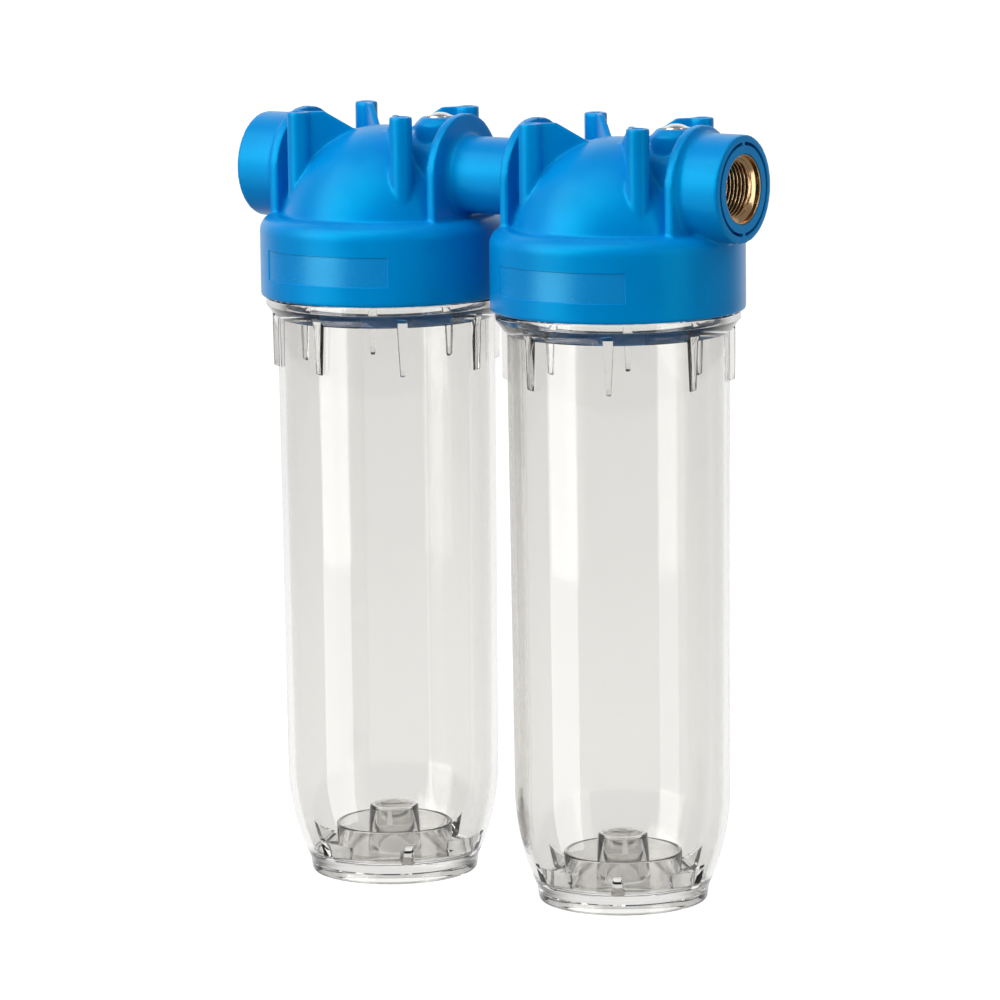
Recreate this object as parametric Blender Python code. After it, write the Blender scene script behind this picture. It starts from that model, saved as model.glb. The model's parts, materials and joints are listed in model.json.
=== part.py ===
"""Twin in-line cartridge filter housing: two blue heads joined by a pipe, each with a clear screw-on bowl.

The frame is +Z up, with +X along the flow line from the inlet to the outlet and -Y towards the label panels.
The origin is on the floor, midway between the bowls. Every head and bowl is modelled about its own upright
axis and then moved along X to its place.
"""

import math

import bmesh
import bpy
from mathutils import Matrix, Vector

MM = 0.001
TAU = 2 * math.pi

# Driving dimensions
GAP = 0.3 * MM  # left between pieces that touch
HEAD_SPACING = 122.8 * MM
PORT_AXIS_Z = 321.8 * MM
PORT_FACE_X = 64.4 * MM  # from the head's own axis
TOP_Z = 349.2 * MM

COLLAR_RADIUS = 56.5 * MM
COLLAR_BOTTOM_Z = 266.0 * MM
COLLAR_TOP_Z = 302.5 * MM
COLLAR_FILLET = 7.0 * MM
COLLAR_BORE = 52.6 * MM
SEAT_Z = 297.0 * MM  # face that the bowl's O-ring seals on

DOME_RADIUS = 46.8 * MM
DOME_BASE_Z = 293.5 * MM
DOME_RISE = 48.5 * MM
DOME_WALL = 4.0 * MM

FLANGE_RADIUS = 27.0 * MM
FLANGE_INNER_X = 40.0 * MM
FLANGE_THICKNESS = 4.4 * MM
SLEEVE_RADIUS = 23.75 * MM
PIPE_RADIUS = 17.2 * MM
TUBE_RADIUS = 18.0 * MM  # short tube between dome and flange
PASSAGE_RADIUS = 10.5 * MM
SEAT_TUBE_RADIUS = 13.0 * MM  # tube that the cartridge's top seals on
SEAT_TUBE_Z = (276.0 * MM, 339.4 * MM)
ELBOW_RADIUS = 13.5 * MM  # from the seat tube to the outlet
RISER_RADIUS = 10.0 * MM
INLET_PASSAGE_END = 24.0 * MM  # from the head's axis, inside the chamber
GROOVE_RADII = (19.2 * MM, 20.6 * MM)  # lightening groove in a port face
GROOVE_DEPTH = 8.0 * MM
GROOVE_BRIDGE = 7.0  # half width in degrees of the bars across the groove

BOSS_RADIUS = 5.1 * MM
BOSS_OFFSET = 27.5 * MM
BOSS_HOLE_RADIUS = 2.1 * MM
BOSS_HOLE_DEPTH = 16.0 * MM
WEB_THICKNESS = 2.8 * MM
WEB_SHOULDER = 27.3 * MM  # where a web's level top starts to slope
WEB_END = 12.1 * MM
WEB_END_Z = 340.0 * MM

PANEL_HALF_ANGLE = 34.4
PANEL_Z = (275.2 * MM, 288.3 * MM)
PANEL_DEPTH = 0.35 * MM

THREAD_PITCH = 6.0 * MM
THREAD_TURNS = 2.0
NECK_RADIUS = 50.1 * MM
MALE_CREST = 51.6 * MM
FEMALE_CREST = 50.9 * MM
THREAD_BASE = 2.6 * MM  # width of a tooth at its root
THREAD_TIP = 1.4 * MM
THREAD_LOW_Z = 270.0 * MM

BOWL_RIM_Z = 296.0 * MM
BOWL_WALL = 3.3 * MM
BOWL_TOP_RADIUS = 49.3 * MM
BOWL_LOW_RADIUS = 48.2 * MM
BOWL_TURN_Z = 50.0 * MM  # where the side starts to curve in
BOWL_TURN_RADIUS = 103.0 * MM
BOWL_FLANGE_RADIUS = 54.3 * MM
BOWL_FLANGE_Z = (261.6 * MM, 265.6 * MM)
BOWL_CONE = (51.0 * MM, 257.0 * MM)  # radius and height where the flange's underside ends
BOWL_SIDE_TOP_Z = 256.0 * MM
NECK_BORE = 45.0 * MM
SEAL_GROOVE = (46.4 * MM, 49.4 * MM)  # radii of the O-ring groove in the bowl's rim
SEAL_GROOVE_DEPTH = 2.1 * MM
SEAL_RADIUS = 47.9 * MM
SEAL_SECTION = 1.25 * MM
SEAL_DROP = 0.55 * MM  # from the bowl's rim down to the middle of the O-ring
FOOT_RADIUS = 38.7 * MM
FOOT_HEIGHT = 6.6 * MM
FLOOR_Z = 9.5 * MM  # inside of the bowl's bottom
FLOOR_UNDERSIDE_Z = 5.0 * MM
RIB_COUNT = 8
RIB_ROOT = 47.5 * MM  # radius of a rib's hidden root in the wall
RIB_SECTIONS = (  # height, outer radius and half width, from the top of a rib to its end
    (260.0 * MM, 51.7 * MM, 2.4 * MM),
    (235.6 * MM, 51.7 * MM, 0.95 * MM),
    (233.0 * MM, 49.0 * MM, 0.8 * MM),
)
RIB_ANGLES = {"left": 41.6, "right": 26.3}  # degrees from -Y towards +X at rest
FIN_COUNT = 6
FIN_WIDTH = 2.6 * MM
# Radius and height of each corner of a fin, in millimetres
FIN_OUTLINE = ((25.6, 8.5), (25.6, 13.5), (36.0, 16.5), (41.5, 20.5), (42.6, 20.5), (36.0, 8.5))
FIN_LAG = 1.2  # degrees from a rib to the fin under it
CUP_RADIUS = 26.6 * MM
CUP_TOP_Z = 22.2 * MM
SPIGOT_RADIUS = 11.2 * MM
SPIGOT_BORE = 8.0 * MM
SPIGOT_TOP_Z = 30.0 * MM

INSERT_RADIUS = 15.2 * MM
INSERT_LENGTH = 17.0 * MM
INSERT_BORE = 13.3 * MM
THREAD_G34_MINOR = 12.06 * MM
THREAD_G34_PITCH = 1.814 * MM

NIPPLE_RADIUS = 13.2 * MM
NIPPLE_BORE = 9.8 * MM
NIPPLE_HALF_LENGTH = 14.0 * MM
JOINT_SEAL_RADIUS = 15.35 * MM
JOINT_SEAL_SECTION = 0.85 * MM
JOINT_GROOVE_DEPTH = 2.0 * MM

VENT_X = 30.4 * MM  # from the head's own axis
VENT_TOP_Z = 349.0 * MM
BUSH_RADIUS = 6.5 * MM
BUSH_BOTTOM_Z = 338.2 * MM
BUSH_RIM_Z = 347.3 * MM
STEM_RADIUS = 1.9 * MM
STEM_LENGTH = 5.0 * MM  # below the bush
CLIP_GROOVE = (2.8 * MM, 4.2 * MM)  # depths of the stem's groove below the bush
CLIP_GROOVE_RADIUS = 1.3 * MM
CLIP_RADIUS = 3.5 * MM
VENT_SEAL_RADIUS = 2.9 * MM
VENT_SEAL_SECTION = 0.7 * MM
VENT_SEAL_DROP = 1.3 * MM  # below the bush
BUTTON_RADIUS = 5.6 * MM
BUTTON_HEIGHT = 3.4 * MM
BUTTON_DOME = ((2.4 * MM, 0.2 * MM), (4.4 * MM, 0.8 * MM), (5.6 * MM, 1.8 * MM))  # radius and drop
BUSH_BORE = 2.5 * MM
BUSH_RECESS = 6.0 * MM
BUSH_FLOOR = 1.8 * MM
VENT_HOLE_RADIUS = 4.2 * MM
VENT_BOSS_RADIUS = 8.1 * MM
VENT_BOSS_CONE = 3.2 * MM
OVERSHOOT = 5.0 * MM  # how far a cutter reaches past the face that it opens

HEAD_X = {"left": -HEAD_SPACING / 2, "right": HEAD_SPACING / 2}
ROUND = 32  # segments round a head or a bowl
FINE = 24  # segments round a port
SMALL = 16  # segments round a vent piece


def finish(name, colour, roughness, metallic=0.0, transmission=0.0):
    """A Principled material for one kind of piece."""
    made = bpy.data.materials.new(name)
    made.use_nodes = True
    shader = made.node_tree.nodes["Principled BSDF"]
    shader.inputs["Base Color"].default_value = (*colour, 1.0)
    shader.inputs["Roughness"].default_value = roughness
    shader.inputs["Metallic"].default_value = metallic
    shader.inputs["Transmission Weight"].default_value = transmission
    return made


def add_object(name, bm, material=None):
    """An object from a bmesh, shaded smooth. One without a material is a cutter or a helper."""
    mesh = bpy.data.meshes.new(name)
    bmesh.ops.remove_doubles(bm, verts=bm.verts, dist=1e-6)
    bmesh.ops.recalc_face_normals(bm, faces=bm.faces)
    bm.to_mesh(mesh)
    bm.free()
    mesh.shade_smooth()
    mesh.set_sharp_from_angle(angle=math.radians(35))
    made = bpy.data.objects.new(name, mesh)
    bpy.context.scene.collection.objects.link(made)
    if material:
        mesh.materials.append(material)
    else:
        made.hide_render = True
        made.display_type = "WIRE"
    return made


def turned(outline, segments, closed=True):
    """A bmesh turned about Z from (radius, height) points. An open outline starts and ends on the axis."""
    bm = bmesh.new()
    points = [bm.verts.new((radius, 0, height)) for radius, height in outline]
    pairs = list(zip(points, points[1:]))
    if closed:
        pairs.append((points[-1], points[0]))
    edges = [bm.edges.new(pair) for pair in pairs]
    upright = {"axis": (0, 0, 1), "cent": (0, 0, 0)}
    bmesh.ops.spin(bm, geom=points + edges, **upright, angle=TAU, steps=segments, use_merge=True)
    bmesh.ops.remove_doubles(bm, verts=bm.verts, dist=1e-7)
    return bm


def rod(radius, low, high, segments):
    """An upright cylinder."""
    return turned([(0, high), (radius, high), (radius, low), (0, low)], segments, closed=False)


def tube(outer, inner, low, high, segments):
    """An upright ring with a square section."""
    return turned([(outer, high), (outer, low), (inner, low), (inner, high)], segments)


def ring(radius, section, height, segments, sides=8):
    """A torus lying flat, such as an O-ring."""
    steps = [TAU * i / sides for i in range(sides)]
    outline = [(radius + section * math.cos(t), height - section * math.sin(t)) for t in steps]
    return turned(outline, segments)


def prism(points, depth):
    """A flat outline of points extruded by a vector."""
    bm = bmesh.new()
    face = bm.faces.new([bm.verts.new(point) for point in points])
    moved = bmesh.ops.extrude_face_region(bm, geom=[face])["geom"]
    corners = [item for item in moved if isinstance(item, bmesh.types.BMVert)]
    bmesh.ops.translate(bm, verts=corners, vec=depth)
    return bm


def along_x(bm, start=0.0):
    """Turns an upright bmesh to point along +X on the port axis, its height zero at start."""
    turn = Matrix.Translation((start, 0, PORT_AXIS_Z)) @ Matrix.Rotation(math.pi / 2, 4, "Y")
    bmesh.ops.transform(bm, matrix=turn, verts=bm.verts)
    return bm


def mirrored(bm):
    """The same shape on the -X side."""
    bmesh.ops.scale(bm, vec=(-1, 1, 1), verts=bm.verts)
    return bm


def moved(bm, offset):
    bmesh.ops.translate(bm, verts=bm.verts, vec=offset)
    return bm


def boolean(target, operation, name, bm, solver="EXACT"):
    """Joins a bmesh to an object, or cuts it away, with a hidden helper object that stays as its child."""
    other = add_object(f"{target.name} {name}", bm)
    other.parent = target
    modifier = target.modifiers.new(name, "BOOLEAN")
    modifier.operation = operation
    modifier.solver = solver
    modifier.object = other


def helix_ridge(root, crest, phase):
    """A trapezium tooth swept along a right-hand helix, its ends tapered into the root."""
    bm = bmesh.new()
    steps_per_turn = 24
    steps = round(THREAD_TURNS * steps_per_turn)
    rows = []
    for step in range(steps + 1):
        angle = phase + TAU * step / steps_per_turn
        height = THREAD_LOW_Z + THREAD_PITCH * step / steps_per_turn
        rise = min(1.0, 0.15 + step / 4, 0.15 + (steps - step) / 4)
        top = root + (crest - root) * rise
        section = ((root, -THREAD_BASE), (top, -THREAD_TIP), (top, THREAD_TIP), (root, THREAD_BASE))
        flat = [(r * math.cos(angle), r * math.sin(angle), height + half / 2) for r, half in section]
        rows.append([bm.verts.new(point) for point in flat])
    for first, second in zip(rows, rows[1:]):
        for i in range(4):
            j = (i + 1) % 4
            bm.faces.new((first[i], first[j], second[j], second[i]))
    bm.faces.new(rows[0])
    bm.faces.new(reversed(rows[-1]))
    return bm


def dome_outline(radius, rise, from_z, steps=8):
    """Points down an ellipse from the axis to the height from_z."""
    last = math.asin((from_z - DOME_BASE_Z) / rise)
    angles = [math.pi / 2 + (last - math.pi / 2) * i / steps for i in range(steps + 1)]
    points = [(radius * math.cos(t), DOME_BASE_Z + rise * math.sin(t)) for t in angles]
    points[0] = (0, DOME_BASE_Z + rise)
    return points


def head_body():
    """The solid outside of a head, turned: dome, shelf, filleted collar."""
    outline = dome_outline(DOME_RADIUS, DOME_RISE, COLLAR_TOP_Z)
    centre = (COLLAR_RADIUS - COLLAR_FILLET, COLLAR_TOP_Z - COLLAR_FILLET)
    for step in range(5):
        angle = math.pi / 2 * (1 - step / 4)
        radius = centre[0] + COLLAR_FILLET * math.cos(angle)
        outline.append((radius, centre[1] + COLLAR_FILLET * math.sin(angle)))
    outline += [
        (COLLAR_RADIUS, COLLAR_BOTTOM_Z + 1.0 * MM),
        (COLLAR_RADIUS - 1.0 * MM, COLLAR_BOTTOM_Z),
        (0, COLLAR_BOTTOM_Z),
    ]
    return turned(outline, ROUND, closed=False)


def head_chamber():
    """The hollow inside a head: a domed chamber over the bore that takes the bowl's neck."""
    outline = dome_outline(DOME_RADIUS - DOME_WALL, DOME_RISE - DOME_WALL, SEAT_Z, steps=6)
    outline += [
        (COLLAR_BORE, SEAT_Z),
        (COLLAR_BORE, COLLAR_BOTTOM_Z + 2.0 * MM),
        (COLLAR_BORE + 1.2 * MM, COLLAR_BOTTOM_Z),
        (COLLAR_BORE + 1.2 * MM, COLLAR_BOTTOM_Z - 5.0 * MM),
        (0, COLLAR_BOTTOM_Z - 5.0 * MM),
    ]
    return turned(outline, ROUND, closed=False)


def flange_plate():
    """An arched plate round a port: a half circle about the port axis on straight sides."""
    foot_z = COLLAR_TOP_Z - 2.5 * MM
    points = [(FLANGE_INNER_X, FLANGE_RADIUS, foot_z)]
    for step in range(17):
        angle = math.pi * step / 16
        y = FLANGE_RADIUS * math.cos(angle)
        points.append((FLANGE_INNER_X, y, PORT_AXIS_Z + FLANGE_RADIUS * math.sin(angle)))
    points.append((FLANGE_INNER_X, -FLANGE_RADIUS, foot_z))
    return prism(points, (FLANGE_THICKNESS, 0, 0))


def diagonal_web(turn):
    """An upright plate across the dome that stiffens two opposite screw bosses."""
    far = math.hypot(BOSS_OFFSET, BOSS_OFFSET)
    top = [(-far, TOP_Z), (-WEB_SHOULDER, TOP_Z), (-WEB_END, WEB_END_Z)]
    top += [(-x, z) for x, z in reversed(top)]
    base_z = COLLAR_TOP_Z + 4.0 * MM
    outline = [*top, (far, base_z), (-far, base_z)]
    bm = prism([(x, -WEB_THICKNESS / 2, z) for x, z in outline], (0, WEB_THICKNESS, 0))
    bmesh.ops.rotate(bm, cent=(0, 0, 0), matrix=Matrix.Rotation(turn, 3, "Z"), verts=bm.verts)
    return bm


def vent_boss():
    """The coned boss that holds the air vent."""
    top_z = BUSH_RIM_Z - GAP
    foot_radius = VENT_BOSS_RADIUS + VENT_BOSS_CONE
    outline = [
        (0, top_z),
        (VENT_BOSS_RADIUS, top_z),
        (foot_radius, top_z - VENT_BOSS_CONE),
        (foot_radius, PORT_AXIS_Z),
        (0, PORT_AXIS_Z),
    ]
    return moved(turned(outline, FINE, closed=False), (VENT_X, 0, 0))


def groove_arc(side):
    """Half of the ring groove in a port face, between the bars at top and bottom."""
    inner, outer = GROOVE_RADII
    half = math.radians(90 - GROOVE_BRIDGE)
    turns = [half * (step / 6 - 1) for step in range(13)]
    start_x = PORT_FACE_X - GROOVE_DEPTH
    rim = [(outer, t) for t in turns] + [(inner, t) for t in reversed(turns)]
    points = [(start_x, side * r * math.cos(t), PORT_AXIS_Z + r * math.sin(t)) for r, t in rim]
    return prism(points, (GROOVE_DEPTH + OVERSHOOT, 0, 0))


def panel_recess():
    """A shallow blank recess on the front of the collar."""
    inner, outer = COLLAR_RADIUS - PANEL_DEPTH, COLLAR_RADIUS + 2 * MM
    half = math.radians(PANEL_HALF_ANGLE)
    turns = [half * (step / 5 - 1) for step in range(11)]
    low, high = PANEL_Z
    points = [(outer * math.sin(t), -outer * math.cos(t), low) for t in turns]
    points += [(inner * math.sin(t), -inner * math.cos(t), low) for t in reversed(turns)]
    return prism(points, (0, 0, high - low))


def on_side(bm, side):
    """A shape made on the +X side of a head, put on the side named by its sign."""
    return bm if side > 0 else mirrored(bm)


def shape_head(head, operation, name, bm):
    """One step in shaping a head. The manifold solver keeps it closed where its passages cross."""
    boolean(head, operation, name, bm, solver="MANIFOLD")


def outer_port(head, side):
    """A port that faces out: sleeve, pocket for the threaded insert and groove."""
    sleeve = rod(SLEEVE_RADIUS, FLANGE_INNER_X + 1 * MM, PORT_FACE_X, ROUND)
    shape_head(head, "UNION", "sleeve", on_side(along_x(sleeve), side))
    pocket_end = PORT_FACE_X - INSERT_LENGTH - 0.5 * MM
    pocket = rod(INSERT_RADIUS + GAP, pocket_end, PORT_FACE_X + OVERSHOOT, FINE)
    shape_head(head, "DIFFERENCE", "insert pocket", on_side(along_x(pocket), side))
    for half, name in ((1, "back groove"), (-1, "front groove")):
        shape_head(head, "DIFFERENCE", name, on_side(groove_arc(half), side))


def add_head(name, material):
    """One moulded head. The left one carries the pipe that joins them, the right one its seal groove."""
    head = add_object(f"{name}_head", head_body(), material)
    for side, word in ((1, "outlet"), (-1, "inlet")):
        shape_head(head, "UNION", f"{word} flange", on_side(flange_plate(), side))
    cross_tube = rod(TUBE_RADIUS, -FLANGE_INNER_X - 1 * MM, FLANGE_INNER_X + 1 * MM, FINE)
    shape_head(head, "UNION", "cross tube", along_x(cross_tube))
    for turn, word in ((45, "first"), (-45, "second")):
        shape_head(head, "UNION", f"{word} web", diagonal_web(math.radians(turn)))
    for x in (-BOSS_OFFSET, BOSS_OFFSET):
        for y in (-BOSS_OFFSET, BOSS_OFFSET):
            boss = rod(BOSS_RADIUS, COLLAR_TOP_Z + 2 * MM, TOP_Z, SMALL)
            shape_head(head, "UNION", "boss", moved(boss, (x, y, 0)))
    shape_head(head, "UNION", "vent boss", vent_boss())
    joint_x = FLANGE_INNER_X + FLANGE_THICKNESS
    if name == "left":
        outer_port(head, -1)
        pipe_end = HEAD_SPACING - joint_x - GAP
        pipe = along_x(rod(PIPE_RADIUS, FLANGE_INNER_X + 1 * MM, pipe_end, FINE))
        shape_head(head, "UNION", "pipe", pipe)
        pocket_end = pipe_end - NIPPLE_HALF_LENGTH - GAP
        nipple_pocket = rod(NIPPLE_RADIUS + GAP, pocket_end, pipe_end + OVERSHOOT, FINE)
        shape_head(head, "DIFFERENCE", "nipple pocket", along_x(nipple_pocket))
    else:
        outer_port(head, 1)
        start = -joint_x - OVERSHOOT
        pipe_face = rod(PIPE_RADIUS + GAP, start, -joint_x + 0.1 * MM, FINE)
        shape_head(head, "DIFFERENCE", "pipe face", along_x(pipe_face))
        pocket_end = -joint_x + NIPPLE_HALF_LENGTH + GAP
        nipple_pocket = rod(NIPPLE_RADIUS + GAP, start, pocket_end, FINE)
        shape_head(head, "DIFFERENCE", "nipple pocket", along_x(nipple_pocket))
        reach = JOINT_SEAL_SECTION + 0.2 * MM
        groove_end = -joint_x + JOINT_GROOVE_DEPTH
        seal_groove = tube(JOINT_SEAL_RADIUS + reach, JOINT_SEAL_RADIUS - reach, start, groove_end, FINE)
        shape_head(head, "DIFFERENCE", "seal groove", along_x(seal_groove))
    shape_head(head, "DIFFERENCE", "chamber", head_chamber())
    shape_head(head, "UNION", "seat tube", rod(SEAT_TUBE_RADIUS, *SEAT_TUBE_Z, FINE))
    elbow = rod(ELBOW_RADIUS, 2 * MM, FLANGE_INNER_X - 2 * MM, FINE)
    shape_head(head, "UNION", "elbow", along_x(elbow))
    riser = rod(RISER_RADIUS, SEAT_TUBE_Z[0] - OVERSHOOT, PORT_AXIS_Z, FINE)
    shape_head(head, "DIFFERENCE", "riser", riser)
    outlet_end = HEAD_SPACING - FLANGE_INNER_X if name == "left" else PORT_FACE_X + OVERSHOOT
    outlet_passage = rod(PASSAGE_RADIUS, -4 * MM, outlet_end, FINE)
    shape_head(head, "DIFFERENCE", "outlet passage", along_x(outlet_passage))
    inlet_passage = rod(PASSAGE_RADIUS, -PORT_FACE_X - OVERSHOOT, -INLET_PASSAGE_END, FINE)
    shape_head(head, "DIFFERENCE", "inlet passage", along_x(inlet_passage))
    bush_pocket = rod(BUSH_RADIUS + GAP, BUSH_BOTTOM_Z - GAP, TOP_Z + OVERSHOOT, SMALL)
    shape_head(head, "DIFFERENCE", "bush pocket", moved(bush_pocket, (VENT_X, 0, 0)))
    vent_hole = rod(VENT_HOLE_RADIUS, PORT_AXIS_Z, BUSH_BOTTOM_Z + 1 * MM, SMALL)
    shape_head(head, "DIFFERENCE", "vent hole", moved(vent_hole, (VENT_X, 0, 0)))
    for x in (-BOSS_OFFSET, BOSS_OFFSET):
        for y in (-BOSS_OFFSET, BOSS_OFFSET):
            hole = rod(BOSS_HOLE_RADIUS, TOP_Z - BOSS_HOLE_DEPTH, TOP_Z + OVERSHOOT, 8)
            shape_head(head, "DIFFERENCE", "screw hole", moved(hole, (x, y, 0)))
    shape_head(head, "DIFFERENCE", "label panel", panel_recess())
    thread = helix_ridge(COLLAR_BORE + 0.5 * MM, FEMALE_CREST, math.pi)
    shape_head(head, "UNION", "thread", thread)
    head.location.x = HEAD_X[name]
    return head


def bowl_side():
    """Outer side of the bowl below its neck: a slight draft, then a long curve in to the foot."""
    points = [(BOWL_TOP_RADIUS, BOWL_SIDE_TOP_Z), (BOWL_LOW_RADIUS, BOWL_TURN_Z)]
    for drop in (14, 26, 36, 43):
        fall = drop * MM
        inset = BOWL_TURN_RADIUS - math.sqrt(BOWL_TURN_RADIUS**2 - fall**2)
        points.append((BOWL_LOW_RADIUS - inset, BOWL_TURN_Z - fall))
    return points


def bowl_outline():
    """Section of the bowl: down the outside, across the foot ring, and up the inside."""
    side = bowl_side()
    flange_low, flange_high = BOWL_FLANGE_Z
    outer = [
        (NECK_RADIUS, BOWL_RIM_Z),
        (NECK_RADIUS, flange_high + 0.6 * MM),
        (BOWL_FLANGE_RADIUS, flange_high),
        (BOWL_FLANGE_RADIUS, flange_low),
        BOWL_CONE,
        *side,
        (FOOT_RADIUS, FOOT_HEIGHT),
        (FOOT_RADIUS - 0.8 * MM, 1.2 * MM),
        (FOOT_RADIUS - 1.8 * MM, 0),
        (FOOT_RADIUS - 5.0 * MM, 0),
        (FOOT_RADIUS - 5.6 * MM, FLOOR_UNDERSIDE_Z),
        (0, FLOOR_UNDERSIDE_Z),
    ]
    inner = [(0, FLOOR_Z), (FOOT_RADIUS - 4.0 * MM, FLOOR_Z)]
    inner += [(r - BOWL_WALL, z) for r, z in reversed(side) if z > FLOOR_Z + 3 * MM]
    groove_z = BOWL_RIM_Z - SEAL_GROOVE_DEPTH
    inner += [(NECK_BORE + 0.2 * MM, flange_low), (NECK_BORE, BOWL_RIM_Z)]
    inner += [(SEAL_GROOVE[0], BOWL_RIM_Z), (SEAL_GROOVE[0], groove_z)]
    inner += [(SEAL_GROOVE[1], groove_z), (SEAL_GROOVE[1], BOWL_RIM_Z)]
    return outer, inner


def bowl_rib():
    """A wedge under the neck flange that a strap wrench grips."""
    bm = bmesh.new()
    rows = []
    for z, outer, half in RIB_SECTIONS:
        section = ((RIB_ROOT, half), (outer, half), (outer, -half), (RIB_ROOT, -half))
        rows.append([bm.verts.new((x, y, z)) for x, y in section])
    for first, second in zip(rows, rows[1:]):
        for i in range(4):
            j = (i + 1) % 4
            bm.faces.new((first[i], second[i], second[j], first[j]))
    bm.faces.new(reversed(rows[0]))
    bm.faces.new(rows[-1])
    return bm


def bowl_fin():
    """A low fin between the cup ring and the wall at the bottom of the bowl."""
    return prism([(x * MM, -FIN_WIDTH / 2, z * MM) for x, z in FIN_OUTLINE], (0, FIN_WIDTH, 0))


def spun(bm, angle):
    """Turned about Z by degrees from -Y towards +X, from a shape made along +X."""
    turn = Matrix.Rotation(math.radians(angle - 90), 3, "Z")
    bmesh.ops.rotate(bm, cent=(0, 0, 0), matrix=turn, verts=bm.verts)
    return bm


def add_bowl(name, material):
    """One clear bowl with its neck thread, gripping ribs, foot ring and cartridge seat."""
    outer, inner = bowl_outline()
    bowl = add_object(f"{name}_bowl", turned(inner + outer, ROUND, closed=False), material)
    boolean(bowl, "UNION", "thread", helix_ridge(NECK_RADIUS - 0.4 * MM, MALE_CREST, 0.0))
    for i in range(RIB_COUNT):
        boolean(bowl, "UNION", "rib", spun(bowl_rib(), RIB_ANGLES[name] + i * 360 / RIB_COUNT))
    cup = [
        (CUP_RADIUS, CUP_TOP_Z),
        (CUP_RADIUS - 1.0 * MM, FLOOR_Z - 1 * MM),
        (CUP_RADIUS - 2.8 * MM, FLOOR_Z - 1 * MM),
        (CUP_RADIUS - 1.7 * MM, CUP_TOP_Z),
    ]
    boolean(bowl, "UNION", "cup ring", turned(cup, FINE))
    spigot = [
        (SPIGOT_RADIUS, SPIGOT_TOP_Z),
        (SPIGOT_RADIUS + 1.0 * MM, FLOOR_Z - 1 * MM),
        (SPIGOT_BORE, FLOOR_Z - 1 * MM),
        (SPIGOT_BORE, SPIGOT_TOP_Z),
    ]
    boolean(bowl, "UNION", "spigot", turned(spigot, FINE))
    for i in range(FIN_COUNT):
        boolean(bowl, "UNION", "fin", spun(bowl_fin(), RIB_ANGLES[name] + FIN_LAG + i * 360 / FIN_COUNT))
    bowl.location.x = HEAD_X[name]
    return bowl


def add_insert(name, head_name, side, material):
    """A brass insert with a G 3/4 female thread, drawn as rings at the thread's pitch."""
    face = PORT_FACE_X - GAP
    back = face - INSERT_LENGTH + GAP
    outline = [(INSERT_RADIUS, back), (INSERT_RADIUS, face - 0.4 * MM), (INSERT_RADIUS - 0.4 * MM, face)]
    outline += [(INSERT_BORE + 0.7 * MM, face), (INSERT_BORE, face - 1.0 * MM)]
    crest = face - 3.4 * MM
    outline.append((INSERT_BORE, crest + THREAD_G34_PITCH / 2))
    while crest > back + 1.5 * MM:
        outline += [(THREAD_G34_MINOR, crest), (INSERT_BORE, crest - THREAD_G34_PITCH / 2)]
        crest -= THREAD_G34_PITCH
    outline += [(THREAD_G34_MINOR, crest), (THREAD_G34_MINOR, back)]
    insert = add_object(name, on_side(along_x(turned(outline, FINE)), side), material)
    insert.location.x = HEAD_X[head_name]


def add_vent(name, materials):
    """The push-button air vent on a head: bush, button on its stem, spring, seal and retaining clip."""
    bush_floor = BUSH_BOTTOM_Z + BUSH_FLOOR
    bush = [
        (BUSH_RADIUS, BUSH_RIM_Z),
        (BUSH_RADIUS, BUSH_BOTTOM_Z),
        (BUSH_BORE, BUSH_BOTTOM_Z),
        (BUSH_BORE, bush_floor),
        (BUSH_RECESS, bush_floor),
        (BUSH_RECESS, BUSH_RIM_Z),
    ]
    cap_underside = VENT_TOP_Z - BUTTON_HEIGHT
    stem_end = BUSH_BOTTOM_Z - STEM_LENGTH
    groove_high, groove_low = (BUSH_BOTTOM_Z - depth for depth in CLIP_GROOVE)
    button = [
        (0, VENT_TOP_Z),
        *((radius, VENT_TOP_Z - drop) for radius, drop in BUTTON_DOME),
        (BUTTON_RADIUS, cap_underside),
        (STEM_RADIUS, cap_underside),
        (STEM_RADIUS, groove_high),
        (CLIP_GROOVE_RADIUS, groove_high),
        (CLIP_GROOVE_RADIUS, groove_low),
        (STEM_RADIUS, groove_low),
        (STEM_RADIUS, stem_end),
        (0, stem_end),
    ]
    clip = tube(CLIP_RADIUS, CLIP_GROOVE_RADIUS + GAP, groove_low + GAP, groove_high - GAP, SMALL)
    seal = ring(VENT_SEAL_RADIUS, VENT_SEAL_SECTION, BUSH_BOTTOM_Z - VENT_SEAL_DROP, SMALL, sides=6)
    pieces = {
        "bush": (turned(bush, SMALL), "nickel"),
        "button": (turned(button, SMALL, closed=False), "chrome"),
        "clip": (clip, "steel"),
        "oring": (seal, "rubber"),
        "spring": (spring_coil(bush_floor + GAP, cap_underside - GAP), "steel"),
    }
    for word, (bm, material) in pieces.items():
        piece = add_object(f"{name}_vent_{word}", bm, materials[material])
        piece.location.x = HEAD_X[name] + VENT_X


def spring_coil(low, high):
    """A compression spring of round wire between two heights."""
    wire, mean_radius, coils, per_turn, sides = 0.35 * MM, 3.9 * MM, 3.5, 12, 5
    bm = bmesh.new()
    steps = round(coils * per_turn)
    rows = []
    for step in range(steps + 1):
        angle = TAU * step / per_turn
        height = low + wire + (high - low - 2 * wire) * step / steps
        outward = Vector((math.cos(angle), math.sin(angle), 0))
        row = []
        for side in range(sides):
            t = TAU * side / sides
            lift = Vector((0, 0, height + wire * math.sin(t)))
            row.append(bm.verts.new(outward * (mean_radius + wire * math.cos(t)) + lift))
        rows.append(row)
    for first, second in zip(rows, rows[1:]):
        for i in range(sides):
            j = (i + 1) % sides
            bm.faces.new((first[i], first[j], second[j], second[i]))
    bm.faces.new(rows[0])
    bm.faces.new(reversed(rows[-1]))
    return bm


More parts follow.
